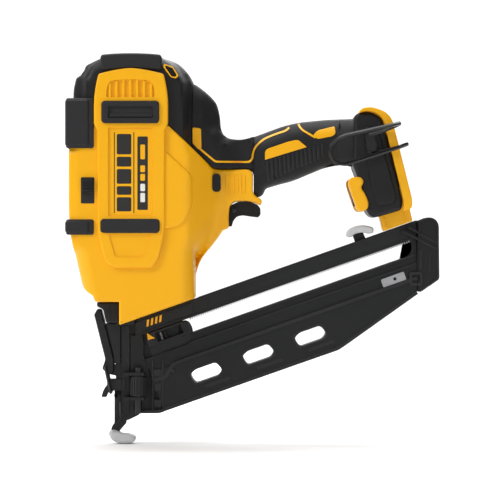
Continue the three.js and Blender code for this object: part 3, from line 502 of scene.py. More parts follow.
def wire(points, radius, sides=12):
    """A round wire through points in millimetres."""
    curve = bpy.data.curves.new("wire", "CURVE")
    curve.dimensions = "3D"
    curve.bevel_depth = radius
    curve.bevel_resolution = sides // 4
    curve.use_fill_caps = True
    spline = curve.splines.new("NURBS")
    spline.points.add(len(points) - 1)
    for spot, place in zip(spline.points, points):
        spot.co = (*place, 1)
    spline.order_u = 3
    spline.resolution_u = 6
    spline.use_endpoint_u = True
    holder = bpy.data.objects.new("wire", curve)
    data = bpy.data.meshes.new_from_object(holder)
    mesh = bmesh.new()
    mesh.from_mesh(data)
    bmesh.ops.remove_doubles(mesh, verts=mesh.verts, dist=1e-4)
    bmesh.ops.recalc_face_normals(mesh, faces=mesh.faces)
    bpy.data.objects.remove(holder)
    bpy.data.curves.remove(curve)
    bpy.data.meshes.remove(data)
    return mesh


def turned(profile, centre, axis, steps=48):
    """A closed profile of (radius, distance) pairs spun round an axis through the centre."""
    axis = Vector(axis)
    out = Vector((1, 0, 0)) if abs(axis.x) < 0.5 else Vector((0, 0, 1))
    mesh = bmesh.new()
    ring = [mesh.verts.new(Vector(centre) + out * r + axis * h) for r, h in profile]
    edges = [mesh.edges.new((a, b)) for a, b in zip(ring, ring[1:])]
    bmesh.ops.spin(
        mesh,
        geom=ring + edges,
        cent=centre,
        axis=axis,
        angle=2 * math.pi,
        steps=steps,
        use_merge=True,
    )
    bmesh.ops.remove_doubles(mesh, verts=mesh.verts, dist=1e-4)
    bmesh.ops.recalc_face_normals(mesh, faces=mesh.faces)
    return mesh


def box(x, y, z, rim=0.3):
    """A block between pairs of x, y and z, its edges eased."""
    mesh = bmesh.new()
    bmesh.ops.create_cube(mesh, size=1)
    spans = [high - low for low, high in (x, y, z)]
    bmesh.ops.scale(mesh, vec=spans, verts=mesh.verts)
    bmesh.ops.translate(mesh, vec=[(a + b) / 2 for a, b in (x, y, z)], verts=mesh.verts)
    if rim > 0:
        bmesh.ops.bevel(
            mesh,
            geom=mesh.edges[:],
            offset=rim,
            offset_type="OFFSET",
            segments=2,
            profile=0.5,
            affect="EDGES",
            clamp_overlap=True,
            material=-1,
        )
    return mesh


# ---------------------------------------------------------------- yellow housing
HOOD_LINE = 262
SHELL = [
    (-39.1, HOOD_LINE),
    (-39.1, 185, 20),
    (-37.5, 171, 14),
    (-28, 128, 5),
    (-19.3, 122.6, 1.5),
    (-17.8, 117.6, 1.5),
    (2.1, 117.6, 0.5),
    (2.1, 98.6, 1.5),
    (63.9, 120.4, 2),
    (63.9, 148, 12),
    (80, 166, 12),
    (86.6, 176.3, 3),
    (91.6, 178, 2),
    (91.2, 190, 5),
    (93, 199.5, 5),
    (104.5, 201.2, 6),
    (112.5, 199.4, 4),
    (118.4, 196.6, 2),
    (119, 201.6, 2),
    (111.4, 205.4, 4),
    (111.4, 226.4, 5),
    (79.3, 226.4, 3),
    (42.3, HOOD_LINE, 2),
]
SHELL_FRONT = [(-39.1, 280), (-39.1, 182), (-37.2, 170), (-28, 128), (-26, 110)]
CHEEK_FOOT = [(40, 156), (62, 150), (70, 157), (80, 166), (86.6, 176.3), (92, 186)]


def shell_height(x, z, edge):
    back = 63.9 - x
    barrel = 29 + 12.2 * dome(off_line(SHELL_FRONT, x, z), 12.5)
    barrel = np.where(back > 0, barrel - 12 * (1 - dome(back, 12)), 0)
    swell = ease((z - 146) / 16) * ease((262 - z) / 24)
    cheek = (19 + 21 * ease((90 - x) / 34)) * dome(off_line(CHEEK_FOOT, x, z), 17) * swell
    neck = np.full_like(x, 20) * ease((x - 56) / 20)
    whole = higher(higher(barrel, cheek, 3), neck, 2)
    return np.minimum(whole, 41.4) - 1.8 * (1 - dome(edge, 1.8))


def shell_half(side):
    mesh = skin(SHELL, side, 0.15, shell_height)
    for at, way in (
        ((0, side * 14, 0), (0, 1, 0)),
        ((-3, 0, 0), (1, 0, 0)),
        ((14, 0, 0), (1, 0, 0)),
    ):
        geom = mesh.verts[:] + mesh.edges[:] + mesh.faces[:]
        bmesh.ops.bisect_plane(mesh, geom=geom, plane_co=at, plane_no=way)
    middles = [(f, f.calc_center_median()) for f in mesh.faces]
    mouth = [f for f, m in middles if abs(m.y) < 14 and -3 < m.x < 14 and m.z < 124]
    bmesh.ops.delete(mesh, geom=mouth, context="FACES")
    return mesh


PLATE_OUT = 44.4
PLATE = [
    (-18.3, 291, 12),
    (-14.5, 303.5, 8),
    (-2, 307.6, 14),
    (11.9, 308.4, 20),
    (26, 307.6, 14),
    (38.5, 303.5, 8),
    (42.2, 291, 12),
    (42.2, 262, 3),
    (39.6, 258, 3),
    (39.6, 173, 9),
    (33.6, 150.5, 6),
    (29, 145.6, 5),
    (-4.4, 145.6, 5),
    (-9, 150.5, 6),
    (-15.4, 173, 9),
    (-15.4, 258, 3),
    (-18.3, 262, 3),
]
VENT = [(-8, 284.6, 0.6), (-8, 294.4, 5), (-4, 298.2, 6), (11.6, 300.4, 16), (27, 298.2, 6), (31, 294.4, 5),
        (31, 284.6, 0.6)]
LABEL = [(-6.8, 187.6, 1.2), (-6.8, 260.2, 1.2), (29.8, 260.2, 1.2), (29.8, 187.6, 1.2)]
APRON = [(-6.4, 172.6, 1), (28.2, 172.6, 1), (23.5, 154, 3), (-1, 154, 3)]
APRON_RIM = [(-7.8, 174, 1), (29.6, 174, 1), (24.6, 152.6, 3.6), (-2.1, 152.6, 3.6)]
PANEL = [
    (38, 240.6, 1),
    (41.5, 239.6, 2),
    (62, 221, 5),
    (62, 194.6, 5),
    (53, 179.4, 6),
    (38, 176.8, 1),
]
VENT_BARS = (  # the x and the top of each bar
    (-5.2, 296),
    (0.4, 298.2),
    (6, 299.4),
    (11.6, 299.8),
    (17.2, 299.4),
    (22.8, 298.2),
    (28.4, 296),
)

for side in SIDES:
    label = SIDE_NAME[side]
    shell = shell_half(side)
    tree = surface_of([shell])
    panel = draped(PANEL, tree, side, lift=1.5, cell=2.4, arcs=5, rim=1.5)
    ribs = [
        draped(rectangle((x - 0.8, x + 0.8), (206.4, 221.6), 0.7), tree, side, lift=0.5, rim=0.4)
        for x in (89.4, 92.4, 95.4, 98.4, 101.4, 104.4)
    ]
    piece(f"{label}_shell", [shell], "yellow", stands_for=[f"{label}_housing"])
    piece(f"{label}_panel", [panel, *ribs], "yellow", stands_for=[f"{label}_housing"])
    plate = carved(
        slab(PLATE, 38, PLATE_OUT, side, rim=1.5, steps=4),
        slab(VENT, PLATE_OUT - 2, PLATE_OUT + 2, side, back=0.8),
        slab(LABEL, PLATE_OUT - 1.3, PLATE_OUT + 2, side, back=0.3),
        slab(APRON, PLATE_OUT - 1.8, PLATE_OUT + 2, side, back=0.7),
    )
    bars = [
        slab([(x - 1.1, 284), (x - 1.1, top, 1), (x + 1.1, top, 1), (x + 1.1, 284)],
             PLATE_OUT - 3, PLATE_OUT - 0.3, side, rim=0.7, steps=3)
        for x, top in VENT_BARS
    ]
    rim = carved(
        slab(APRON_RIM, PLATE_OUT - 1, PLATE_OUT + 1.0, side, rim=0.7),
        slab(APRON, PLATE_OUT - 2, PLATE_OUT + 2, side),
    )
    face = piece(f"{label}_face_plate", [plate, *bars, rim], "yellow", stands_for=[f"{label}_housing"])
    soften(face, 0.35)


# ---------------------------------------------------------------- black hood, shoulder and grip
HOOD = [
    (-36.6, HOOD_LINE + 0.3, 0.5),
    (-36.6, 292, 8),
    (-34.2, 301.6, 5),
    (-28.4, 305.4, 3),
    (-26.4, 312, 6),
    (-13, 318.4, 10),
    (11.9, 320.4, 40),
    (36.4, 318.4, 14),
    (50, 313.6, 12),
    (58.5, 305.6, 8),
    (63.4, 296, 8),
    (64.4, 280, 6),
    (60.6, 262, 4),
    (60.6, 245.2, 1),
    (56.5, 248.4, 1),
    (43, HOOD_LINE + 0.3, 1),
]
HOOD_RIM = HOOD[:12] + [(66, 220)]
HOOD_CORE = [
    (-28.2, 240),
    (-28.2, 302),
    (-22, 312),
    (-10, 322),
    (34, 322),
    (49, 310),
    (56.4, 298),
    (57.4, 240),
]


def hood_height(x, z, _edge):
    outer = 18 + 14 * dome(off_line(HOOD_RIM, x, z), 12)
    core = 8 * ease((reach_in(HOOD_CORE, x, z) + 1.5) / 5)
    return outer + core


GRIP = [
    (62, 297.6, 3),
    (72.5, 291, 9),
    (81, 282, 9),
    (84.4, 272, 9),
    (84.4, 260, 7),
    (88.5, 253, 5),
    (97, 250.8, 4),
    (105, 251.2, 8),
    (120, 256.6, 10),
    (138.5, 263.7, 12),
    (152, 266.2, 10),
    (175, 268.4, 12),
    (200, 268.8, 2),
    (200, 227, 2),
    (192, 230.4, 7),
    (176, 230.3, 10),
    (158, 222.8, 10),
    (144, 216.9, 9),
    (130, 213.5, 7),
    (122, 210.8, 5),
    (119.2, 204.4, 3),
    (112, 203.4, 1),
    (112, 226.9, 5),
    (79.5, 226.9, 2),
    (60, 243.8, 2),
]
SHOULDER_BACK = [(40, 300), (62, 298.4)] + GRIP[1:7] + [(103, 250.8)]
GRIP_TOP = [(88, 247)] + GRIP[6:13]
GRIP_LOW = GRIP[13:21] + [(112, 200)]
SCOOP = (77.5, 272.5)  # the thumb's hollow


def grip_height(x, z, edge):
    handle = 17.6 * dome(np.minimum(off_line(GRIP_TOP, x, z), off_line(GRIP_LOW, x, z)), 17)
    handle = np.maximum(handle, 19.4 * ease((114 - x) / 4)) + 6 * ease((x - 178) / 20)
    shoulder = 13 + 15 * dome(off_line(SHOULDER_BACK, x, z), 15)
    hollow = ((x - SCOOP[0]) / 8) ** 2 + ((z - SCOOP[1]) / 17) ** 2
    shoulder = shoulder - 4.5 * ease(1.1 - hollow)
    share = ease((104 - x) / 26)
    whole = handle * (1 - share) + shoulder * share
    return np.maximum(whole - 1.2 * (1 - dome(edge, 1.2)), 0.2)


FOOT = [
    (194.6, 270.8, 2),
    (200.5, 273.2, 3),
    (206, 273.8, 4),
    (213, 271.8, 5),
    (218, 267, 5),
    (220, 258, 4),
    (234.6, 199.9, 3),
    (233.3, 192.9, 2.5),
    (215.5, 187.5, 3),
    (209, 186.5, 4),
    (204.6, 191.5, 4),
    (197, 220.5, 6),
    (193.4, 229, 3),
]
FOOT_FACE = [
    (203, 262, 3),
    (214, 260, 5),
    (229.4, 203, 3),
    (227, 198.6, 3),
    (213, 196, 3),
    (207, 218, 3),
]


for side in SIDES:
    label = SIDE_NAME[side]
    hood = skin(HOOD, side, 0.15, hood_height)
    grip = skin(GRIP, side, 0.15, grip_height)
    foot = slab(FOOT, 0.15, 29.6, side, rim=3.2, steps=4)
    face = slab(FOOT_FACE, 27, 31, side, rim=1.4)
    tree = surface_of([grip])
    piece(f"{label}_hood", [hood], "black", stands_for=[f"{label}_grip_shell"])
    piece(f"{label}_grip", [grip], "grip", stands_for=[f"{label}_grip_shell"])
    piece(f"{label}_foot", [foot, face], "black", stands_for=[f"{label}_grip_shell"])

    # Yellow accents inlaid in the grip.
    patch = draped(
        [(61.8, 247.6, 1), (61.8, 260.6, 1), (68.8, 259.8, 1.5), (69.2, 243.4, 1), (66.6, 242.6, 1)],
        tree, side, lift=0.5, rim=0.3,
    )
    line = draped(
        ribbon([(67.6, 243.3), (80.6, 232.5, 1.5), (108.6, 232.5, 2), (111, 235.4, 1.5), (111.4, 240, 2),
                (113, 244.6, 2), (119.4, 251.4, 4), (128.2, 255.2, 4), (139, 258.8, 2),
                (141.4, 261.4)], 1.6),
        tree, side, lift=0.35, cell=3,
    )
    insert = draped(
        [(121.4, 241.3, 1.2), (123, 243.3, 2), (143.3, 250.3, 4), (148.8, 250.8, 3), (155.9, 244.9, 0.6),
         (121.4, 234.3, 0.6)],
        tree, side, lift=0.5, rim=0.3,
    )
    second = draped(
        ribbon([(149, 265.6), (149.4, 263, 1.2), (152, 259.2, 2), (163, 252.6, 1)], 1.6),
        tree, side, lift=0.35, cell=3,
    )
    tab = draped(
        [(161.4, 254.4, 0.5), (164.6, 251.4, 1.5), (178, 254, 2), (179.6, 256.6, 1.5), (178.8, 262.2, 1),
         (165, 258.8, 2), (161.8, 255.6, 0.5)],
        tree, side, lift=0.55, rim=0.3,
    )
    piece(f"{label}_accents", [patch, line, insert, second, tab], "yellow")
    ribs = [
        draped(
            ribbon([(x, 234.1 + (x - 121.4) * 0.307 - 1.2), (x + 0.6, 206 + (x - 120) * 0.42 + 10)], 2.0),
            tree, side, lift=0.7, cell=2.5, rim=0.5,
        )
        for x in (123.2 + 3.5 * i for i in range(14))
    ]
    piece(f"{label}_grip_ribs", ribs, "rubber")


# ---------------------------------------------------------------- bumpers and strips
TOP = [
    (-13.2, 306.8, 1.5),
    (-13.2, 319.4, 2.5),
    (11.9, 322.4, 40),
    (37, 319.4, 2.5),
    (37, 306.8, 1.5),
    (11.9, 309.4, 40),
]
piece(
    "top_pad",
    both(TOP, 0.1, 42.4, rim=2.2, steps=4),
    "rubber",
    stands_for=["top_bumper"],
)


def front_pad(z_low, z_high):
    """A block with a thicker, shorter block laid over it, on both sides."""
    parts = []
    for side in SIDES:
        parts.append(slab(rectangle((-41.2, -18.4), (z_low, z_high), 1.6), 0.1, 43.4, side, rim=1.6))
        thicker = rectangle((-41.8, -22.4), (z_low + 1.6, z_high - 1.2), 1.6)
        parts.append(slab(thicker, 0.1, 44.6, side, rim=1.8))
    return parts


piece("front_upper_pad", front_pad(243, 284), "rubber", stands_for=["front_upper_bumper"])
piece("front_lower_pad", front_pad(172.4, 185), "rubber", stands_for=["front_lower_bumper"])

for side in SIDES:
    label = SIDE_NAME[side]
    handle = carved(
        slab(rectangle((-12.2, 35), (263.2, 281.6), 3), 42, 46.6, side, rim=1.3),
        slab(rectangle((-6.6, 29.8), (267.6, 277.2), 1), 44.9, 50, side, back=0.3),
    )
    ledge = slab(rectangle((-6.2, 29.4), (268.2, 271.6), 0.4), 43, 45.6, side, rim=0.5)
    piece(f"{label}_upper_bar", [handle, ledge], "rubber", stands_for=[f"{label}_upper_strip"])
    bar = slab(rectangle((-13, 35.4), (173.8, 185.4), 3), 42, 46.2, side, rim=1.5)
    piece(f"{label}_lower_bar", [bar], "rubber", stands_for=[f"{label}_lower_strip"])


# ---------------------------------------------------------------- battery foot
BAND = [
    (197.4, 271.6, 1),
    (199.2, 275.6, 3),
    (205.3, 277.6, 4),
    (214.5, 276.4, 7),
    (222.5, 271.6, 6),
    (226, 266, 4),
    (242.4, 200, 4),
    (241.6, 194, 3),
    (234, 191.8, 1),
]
BAND_INNER = [
    (235.1, 200, 2),
    (220.6, 258.2, 4),
    (218.6, 267.4, 4),
    (213.2, 272.3, 4),
    (206, 274.4, 3),
    (200.5, 273.4, 1),
    (190, 271),
    (190, 180),
    (234, 180),
]
BAND_TOP = BAND[1:6] + [(225, 262.3), (217.4, 262.3), (200, 262.3, 1)]
POST = [(216, 188, 1), (219.2, 175.4, 0.6), (243.4, 183.9, 0.6), (240.9, 195, 1), (226, 196)]
piece(
    "battery_rim",
    [carved(slab(BAND, 24, 32.4, side, rim=1), slab(BAND_INNER, 23, 40, side)) for side in SIDES]
    + both(BAND_TOP, 0.1, 27),
    "yellow",
    stands_for=["battery_band"],
)
post_ribs = [
    slab([(x, 186 + (x - 216) * 0.34, 0.4), (x + 2.6, 177 + (x - 216) * 0.34, 0.4),
          (x + 3.8, 177.4 + (x - 216) * 0.34, 0.4), (x + 1.2, 186.4 + (x - 216) * 0.34, 0.4)],
         12, 13.2, side, rim=0.4)
    for side in SIDES
    for x in (219, 235)
]
piece(
    "post_cover",
    both(POST, 0.1, 12.6, rim=1.2, steps=4) + post_ribs,
    "yellow",
    stands_for=["foot_post"],
)

BEZEL = [
    (189.2, 214.6, 2.5),
    (190.4, 218.6, 3),
    (196.6, 220.6, 3),
    (201.8, 218.8, 2.5),
    (202, 214.8, 2),
    (199.8, 211.4, 2),
    (204.6, 204, 4),
    (206.4, 198, 4),
    (205.4, 193, 3),
    (200.4, 191.2, 3),
    (196.8, 193, 3),
    (195, 197.4, 3),
]
piece("mode_bezel_cover", both(BEZEL, 22, 31.8, rim=1.6, steps=4), "yellow")


# ---------------------------------------------------------------- label, seams and slots
PRINT = PLATE_OUT - 1.3  # the floor of the label's recess
RULES = (-1.6, 14.3)  # the thin lines on either side of the blocks
RULE_HALF = 0.35
BLOCKS = ((191.5, 203), (205, 212), (214, 226), (228, 236), (238, 254.6))
LIGHT_BARS = ((199, 206.5), (208, 214))
BRIGHT_BARS = ((216.5, 222), (223.5, 229), (234, 246))
SEAMS = (
    [(93, 251), (83, 241.6, 2), (82.6, 233.6)],
    [(118, 232.4), (124, 224, 3), (134, 215)],
    [(183, 268), (181.4, 250, 6), (184, 231)],
)


def printed(x, z, reach, side, lift=0.12):
    """A patch of ink on the label's floor."""
    return slab(rectangle(x, z, reach), PRINT - 0.3, PRINT + lift, side)


def label_print(side):
    label = SIDE_NAME[side]
    ink = [printed((x - RULE_HALF, x + RULE_HALF), (190, 256), 0, side) for x in RULES]
    ink += [printed((0.4, 12.2), span, 1.2, side) for span in BLOCKS]
    ink.append(printed((17.2, 25.7), (192.7, 252.6), 1, side))
    piece(f"{label}_label_ink", ink, "ink")
    light = [printed((19.6, 23.4), span, 0.8, side, lift=0.2) for span in LIGHT_BARS]
    piece(f"{label}_label_light", light, "white_ink")
    bright = [printed((19.6, 23.4), span, 0.8, side, lift=0.2) for span in BRIGHT_BARS]
    piece(f"{label}_label_bright", bright, "yellow")


def grip_seams(side):
    tree = surface_of([skin(GRIP, side, 0.15, grip_height, cell=4)])
    seams = [draped(ribbon(path, 0.55), tree, side, lift=0.08, sunk=0.4, cell=4) for path in SEAMS]
    piece(f"{SIDE_NAME[side]}_seams", seams, "deep")


for side in SIDES:
    label_print(side)
    grip_seams(side)

# The stall release and the keyhole are on the left only.
stall_slot = slab(rectangle((-29, -18), (198, 219.4), 1), 40, 41.75, LEFT, rim=0.2)
piece("stall_slot", [stall_slot], "deep")
stall_grips = [
    slab(rectangle((-27.4, -19.6), (z, z + 1.1), 0.3), 44, 45.8, LEFT, rim=0.4)
    for z in (208.4, 210.8, 213.2, 215.6)
]
piece("stall_grips", stall_grips, "black", body="stall_release_lever")
KEYHOLE_EDGE = [
    (206.5, 251.6, 2),
    (209.6, 251.6, 2),
    (209.4, 248.4, 1.6),
    (212, 245.4, 2),
    (210.4, 241.4, 2),
    (210.8, 236, 2),
    (208, 236, 2),
    (207, 240.8, 1.6),
    (204.6, 244, 2),
    (206, 248, 1.6),
]
KEYHOLE = [
    (206.9, 250.6, 1.4),
    (209, 250.4, 1.4),
    (208.6, 247.8, 1),
    (210.8, 245, 2),
    (209.4, 241.6, 1.6),
    (209.6, 237.2, 1.4),
    (208.6, 237.2, 1.4),
    (208.2, 241.4, 1.2),
    (206, 244.2, 1.6),
    (207.2, 247.6, 1.2),
]
piece("keyhole_edge", [slab(KEYHOLE_EDGE, 30, 31.35, LEFT, rim=0.3)], "yellow")
piece("keyhole", [slab(KEYHOLE, 30, 31.6, LEFT, rim=0.2)], "deep")


# ---------------------------------------------------------------- magazine
# A line along the magazine is named by its height v in the tilted frame; u runs along it.
REAR = 247.2
RAIL_FOOT = 78.4
RAIL_TOP = 92
COS, SIN = math.cos(TILT), math.sin(TILT)


def at(v, x):
    """The height, over X, of a line along the magazine."""
    return (v + x * SIN) / COS


def strip(v, x, y, side, rim=0.3):
    """A band along the magazine between two lines and two X."""
    (low, high), (start, end) = v, x
    corners = [(start, at(low, start)), (end, at(low, end)), (end, at(high, end)), (start, at(high, start))]
    return slab(corners, *y, side, rim=rim)


def tilted_both(corners, inner, outer, **rims):
    """The same slab on both sides, drawn in the tilted frame."""
    return [tilted(half) for half in both(corners, inner, outer, **rims)]


def grown(corners, by):
    """The corners moved away from their centre, along both axes."""
    centre = sum((Vector(c[:2]) for c in corners), Vector((0, 0))) / len(corners)
    return [
        (x + math.copysign(by, x - centre.x), z + math.copysign(by, z - centre.y), *rest)
        for x, z, *rest in corners
    ]


RAIL_BANDS = (  # lines, X, |Y| and rim of each ledge of the rail
    ((RAIL_FOOT, RAIL_TOP), (14, REAR), (0.1, 9), 0.8),
    ((78.2, 80.4), (20, REAR), (8, 9.6), 0.3),
    ((90.2, 92.2), (66, REAR), (8, 9.5), 0.4),
    ((81, 89.8), (14, 62), (8, 10), 0.5),
)
rail = [strip(v, x, y, side, rim) for v, x, y, rim in RAIL_BANDS for side in SIDES]
piece("rail", rail, "casting", stands_for=["magazine_rail"])
TOOTH_PITCH = 1.9
teeth = [
    tilted(slab([(u, 76.8), (u + 0.8, 76.8), (u + 0.8, 78.6), (u, 78.6)], 8.4, 9, side))
    for side in SIDES
    for u in (90 + TOOTH_PITCH * i for i in range(102))
]
piece("rail_teeth", teeth, "steel")
hazard = [
    tilted(slab([(u, 83.2), (u + 1.9, 83.2), (u + 4.3, 88.4), (u + 2.4, 88.4)], 9.5, 10.15, side))
    for side in SIDES
    for u in (54, 57.7, 61.4, 65.1)
]
piece("hazard_bars", hazard, "yellow")

LEDGE = [
    (28.4, 51.6),
    (40.4, 55.6, 2),
    (43.4, 62.6, 2.5),
    (46.4, at(47.2, 46.4), 2),
    (REAR, at(47.2, REAR)),
]
LIP = [
    (18.6, 26.4),
    (34.4, 26.4, 2),
    (39.4, at(13.8, 39.4), 2),
    (182.4, at(13.8, 182.4), 6),
    (REAR, 124.9),
]
UPPER = [(60, at(65.6, 60)), (REAR, at(65.6, REAR))]
MIDDLE = [(58, at(59, 58)), (142, at(59, 142)), (REAR, at(58.6, REAR))]
FRONT_BARS = ([(28.6, 69), (28.6, 28)], [(37, 70), (37, 30)])
WINDOW = [(0, 34.2, 3), (6, 36.6, 3), (23.6, 36.6, 3), (26.6, 29, 3), (22, 25.6, 3), (2, 25.6, 3)]
WINDOW_STARTS = (75, 120.6, 166.2)


def window_trim(start, side):
    """The raised rim round a window and the bar under it."""
    hole = [(start + u, v, reach) for u, v, reach in WINDOW]
    ring = carved(slab(grown(hole, 1.7), 12.6, 13.5, side, rim=0.3), slab(grown(hole, 0.15), 10, 16, side))
    bar = slab(rectangle((start + 8, start + 31), (19.2, 22), 1.2), 12.6, 13.4, side, rim=0.3)
    return [tilted(ring), tilted(bar)]


def channel_ridges(side):
    ridges = [
        slab(ribbon(LEDGE, 3.2), 10.6, 13.9, side, rim=0.6),
        slab(ribbon(LIP, 2.6), 12.4, 13.9, side, rim=0.5),
        slab(ribbon(UPPER, 1.8), 8.6, 9.9, side, rim=0.4),
        slab(ribbon(MIDDLE, 1.4), 8.6, 11.4, side, rim=0.3),
    ]
    for start in WINDOW_STARTS:
        ridges += window_trim(start, side)
    ridges += [slab(ribbon(path, 1.6), 12.4, 13.5, side, rim=0.3) for path in FRONT_BARS]
    return ridges


# The ridges take the lighter rubber finish: a painted highlight along the channel's ridges and window rims.
piece("channel_ridges", [r for side in SIDES for r in channel_ridges(side)], "rubber")
holes = [
    slab(rectangle((29.8, 35.6), span, 0.8), 6, 13.15, side, rim=0.2)
    for side in SIDES
    for span in ((56, 61.5), (43.5, 49.7), (30.4, 36.3))
]
holes += both(rectangle((28.6, 37), (50, 68.6), 1), 5, 9.6, rim=0.4)
piece("front_holes", holes, "deep")
SCREW_HEAD = [(0, 0), (2.1, 0), (2.1, 0.8), (1.7, 1.2), (0.9, 1.2), (0.9, 0.5), (0, 0.5)]
screws = [turned(SCREW_HEAD, (45.2, side * 12.8, 60.2), (0, side, 0), 24) for side in SIDES]
piece("channel_screws", screws, "dark_steel")

FRONT = [
    (10, 50, 1),
    (10, 90.5, 1),
    (13.6, 89.4),
    (20, 91.4, 0.5),
    (21.4, 84, 1),
    (21.2, 72, 1),
    (25, 66, 2),
    (27, 54, 1),
]
GUIDE_PLATE = [
    (9.6, 48),
    (9.6, 100.2),
    (22.4, 104.6),
    (50, at(79, 50)),
    (50, at(65, 50)),
    (28, 60),
    (28, 48),
]
front = both(FRONT, 0.1, 8.4, rim=0.8) + both(GUIDE_PLATE, 3.3, 5)
piece("magazine_front", front, "magazine")

GAP_END = [
    (230, at(78.6, 230)),
    (REAR, at(78.6, REAR)),
    (REAR, at(66.3, REAR)),
    (226, at(66.3, 226)),
    (240.4, at(67.4, 240.4), 5),
    (243.6, at(72.4, 243.6), 5),
    (240.8, at(77.6, 240.8), 5),
]
piece("gap_end", both(GAP_END, 0.1, 8.6, rim=0.4), "magazine")

CAP_EDGE = [
    (248.6, 183.6),
    (255, 186.2, 2),
    (260.6, 186, 3),
    (264.2, 181.6, 3),
    (264.6, 136.4, 2),
    (256.6, 130.6),
]
CAP_RIBS = (  # path and width
    ([(239.4, 179), (263.4, 166)], 1.8),
    ([(234.6, 176), (263.4, 160.8)], 1.8),
    ([(249, 184.6), (249, 172)], 1.6),
    ([(250.4, 160), (250.4, 144)], 1.6),
    ([(257.6, 158), (257.6, 142)], 1.4),
    (CAP_EDGE, 1.6),
)


def cap_ribs(side):
    ribs = [slab(ribbon(path, width), 8.6, 14.2, side, rim=0.4) for path, width in CAP_RIBS]
    ribs.append(
        carved(
            slab(rectangle((240.7, 251.7), (130.4, 142), 1.6), 8, 14.4, side, rim=0.6),
            slab(rectangle((243, 249.6), (132.8, 139.8), 1.2), 12.6, 16, side, back=0.4),
        )
    )
    ribs.append(slab([(244, 134), (246.4, 138.6), (248.8, 134.6), (246.4, 136)], 12, 14, side, rim=0.3))
    return ribs


# The cap's ribs take the lighter rubber finish: a painted highlight along their edges.
piece("cap_ribs", [r for side in SIDES for r in cap_ribs(side)], "rubber")


# ---------------------------------------------------------------- pusher
# The pusher's frame, spring and pointer slide with it.
PUSHER_FRAME = [
    (50.4, 66.2, 0.6),
    (51, 77.9, 0.8),
    (82, 78, 1),
    (87.6, 77.2, 3),
    (89.4, 71, 3),
    (88.6, 66.2, 1),
]
PUSHER_OPENING = [(59, 68.2, 0.8), (59, 76, 0.8), (81.6, 76, 0.8), (81.6, 68.2, 0.8)]


def pusher_frame(side):
    plate = carved(slab(PUSHER_FRAME, 5.3, 12, side, rim=0.9), slab(PUSHER_OPENING, 4, 16, side))
    bar = slab([(66.4, 67), (67.6, 67), (67.6, 77), (66.4, 77)], 5, 10.6, side, rim=0.3)
    thumb_rib = slab([(82.6, 67.4), (84.2, 67.4), (85.8, 77), (84.2, 77)], 11, 12.7, side, rim=0.3)
    return [tilted(plate), tilted(bar), tilted(thumb_rib)]


def spring(start, run, radius, thick, turns):
    """A coil wound from a start along a run in the plane of X and Z."""
    steps = 10  # points in one turn
    way = Vector(run)
    up = Vector((0, 1, 0))
    out = way.normalized().cross(up)
    points = []
    for i in range(turns * steps + 1):
        angle = 2 * math.pi * i / steps
        spot = Vector(start) + way * i / (turns * steps)
        points.append(spot + out * radius * math.cos(angle) + up * radius * math.sin(angle))
    return wire(points, thick, sides=8)


web = tilted_both([(52, 40), (84, 40), (84, 76.6), (52, 76.6)], 0.1, 3)
skirt = tilted_both([(50.6, 58), (87, 58), (87, 67), (50.6, 67)], 5.3, 8.4)
piece("pusher_body", web + skirt, "deep", body="pusher", stands_for=["pusher"])
frames = [part for side in SIDES for part in pusher_frame(side)]
piece("pusher_frame", frames, "rubber", body="pusher")
pointer = tilted_both([(51.8, 72.6), (57.6, 72), (52.8, 78.2)], 11.6, 12.5)
piece("pusher_pointer", pointer, "yellow", body="pusher")
COIL_U, COIL_V, COIL_LENGTH = 63.2, 68.6, 7.2
coils = [
    spring(
        (COIL_U * COS - COIL_V * SIN, side * 8, COIL_U * SIN + COIL_V * COS),
        (-COIL_LENGTH * SIN, 0, COIL_LENGTH * COS),
        radius=1.1,
        thick=0.34,
        turns=7,
    )
    for side in SIDES
]
piece("pusher_springs", coils, "steel", body="pusher")


# ---------------------------------------------------------------- nose
CLAW = [
    (3, 52.6),
    (-3.6, 52.4, 3),
    (-9.6, 49, 4),
    (-13, 43, 3),
    (-14, 38.2, 0.6),
    (-9.8, 38.2, 0.8),
    (-9.6, 41, 2),
    (-5.6, 43.7, 3),
    (3, 43.7),
]
DOOR = [(1.9, 99.4, 0.5), (-11, 99.4, 0.5), (-4.5, 73.6, 1), (-4.2, 66, 1.5), (1.9, 66)]
COWL = [
    (-17.4, 117, 1.4),
    (-17, 113.4, 1),
    (-12.2, 111, 2),
    (-9.8, 99.9, 1.5),
    (1.5, 99.9, 1),
    (1.3, 116.6, 2),
]
COWL_RIB = [(-7.2, 112.6), (-7.2, 103)]
LEVER = [
    (-20, 106, 1.2),
    (-17.3, 111, 1.2),
    (-14.2, 110, 1),
    (-4.6, 72, 1),
    (-4.4, 66.6, 2),
    (-9.8, 64.6, 1),
    (-10.8, 70, 1.5),
]
LEVER_PIVOT = (-7.5, 60.6)
PIVOT_HEAD = [(0, 0), (3.2, 0), (3.2, 1.4), (2.2, 2), (0, 2)]
NOSE_BLOCK = [(2.6, 37), (8.9, 37), (17.2, 36.3, 1), (17.2, 23.4, 1), (7.4, 18.6, 1), (3.4, 21, 1)]
claws = both(CLAW, 6.5, 9, rim=0.5, back=0.4)
rails = both(rectangle((3, 9.4), (24, 97.4), 0.6), 6, 7.7, rim=0.5)
piece("nose_claws", claws + rails, "casting")
piece("door_block", both(DOOR, 0.1, 8, rim=0.9), "casting", body="nose_door")
cowl = both(COWL, 12, 17.4, rim=1.4) + both(ribbon(COWL_RIB, 1.5), 16.4, 18, rim=0.5)
piece("cowl_cheeks", cowl, "casting")
lever = both(LEVER, 0.1, 7.2, rim=1.5)
lever += [
    turned(PIVOT_HEAD, (LEVER_PIVOT[0], side * 6.6, LEVER_PIVOT[1]), (0, side, 0), 28) for side in SIDES
]
piece("lever_paddle", lever, "rubber", body="latch_lever")
piece("lower_nose_block", both(NOSE_BLOCK, 0.1, 5.4, rim=0.8), "casting")

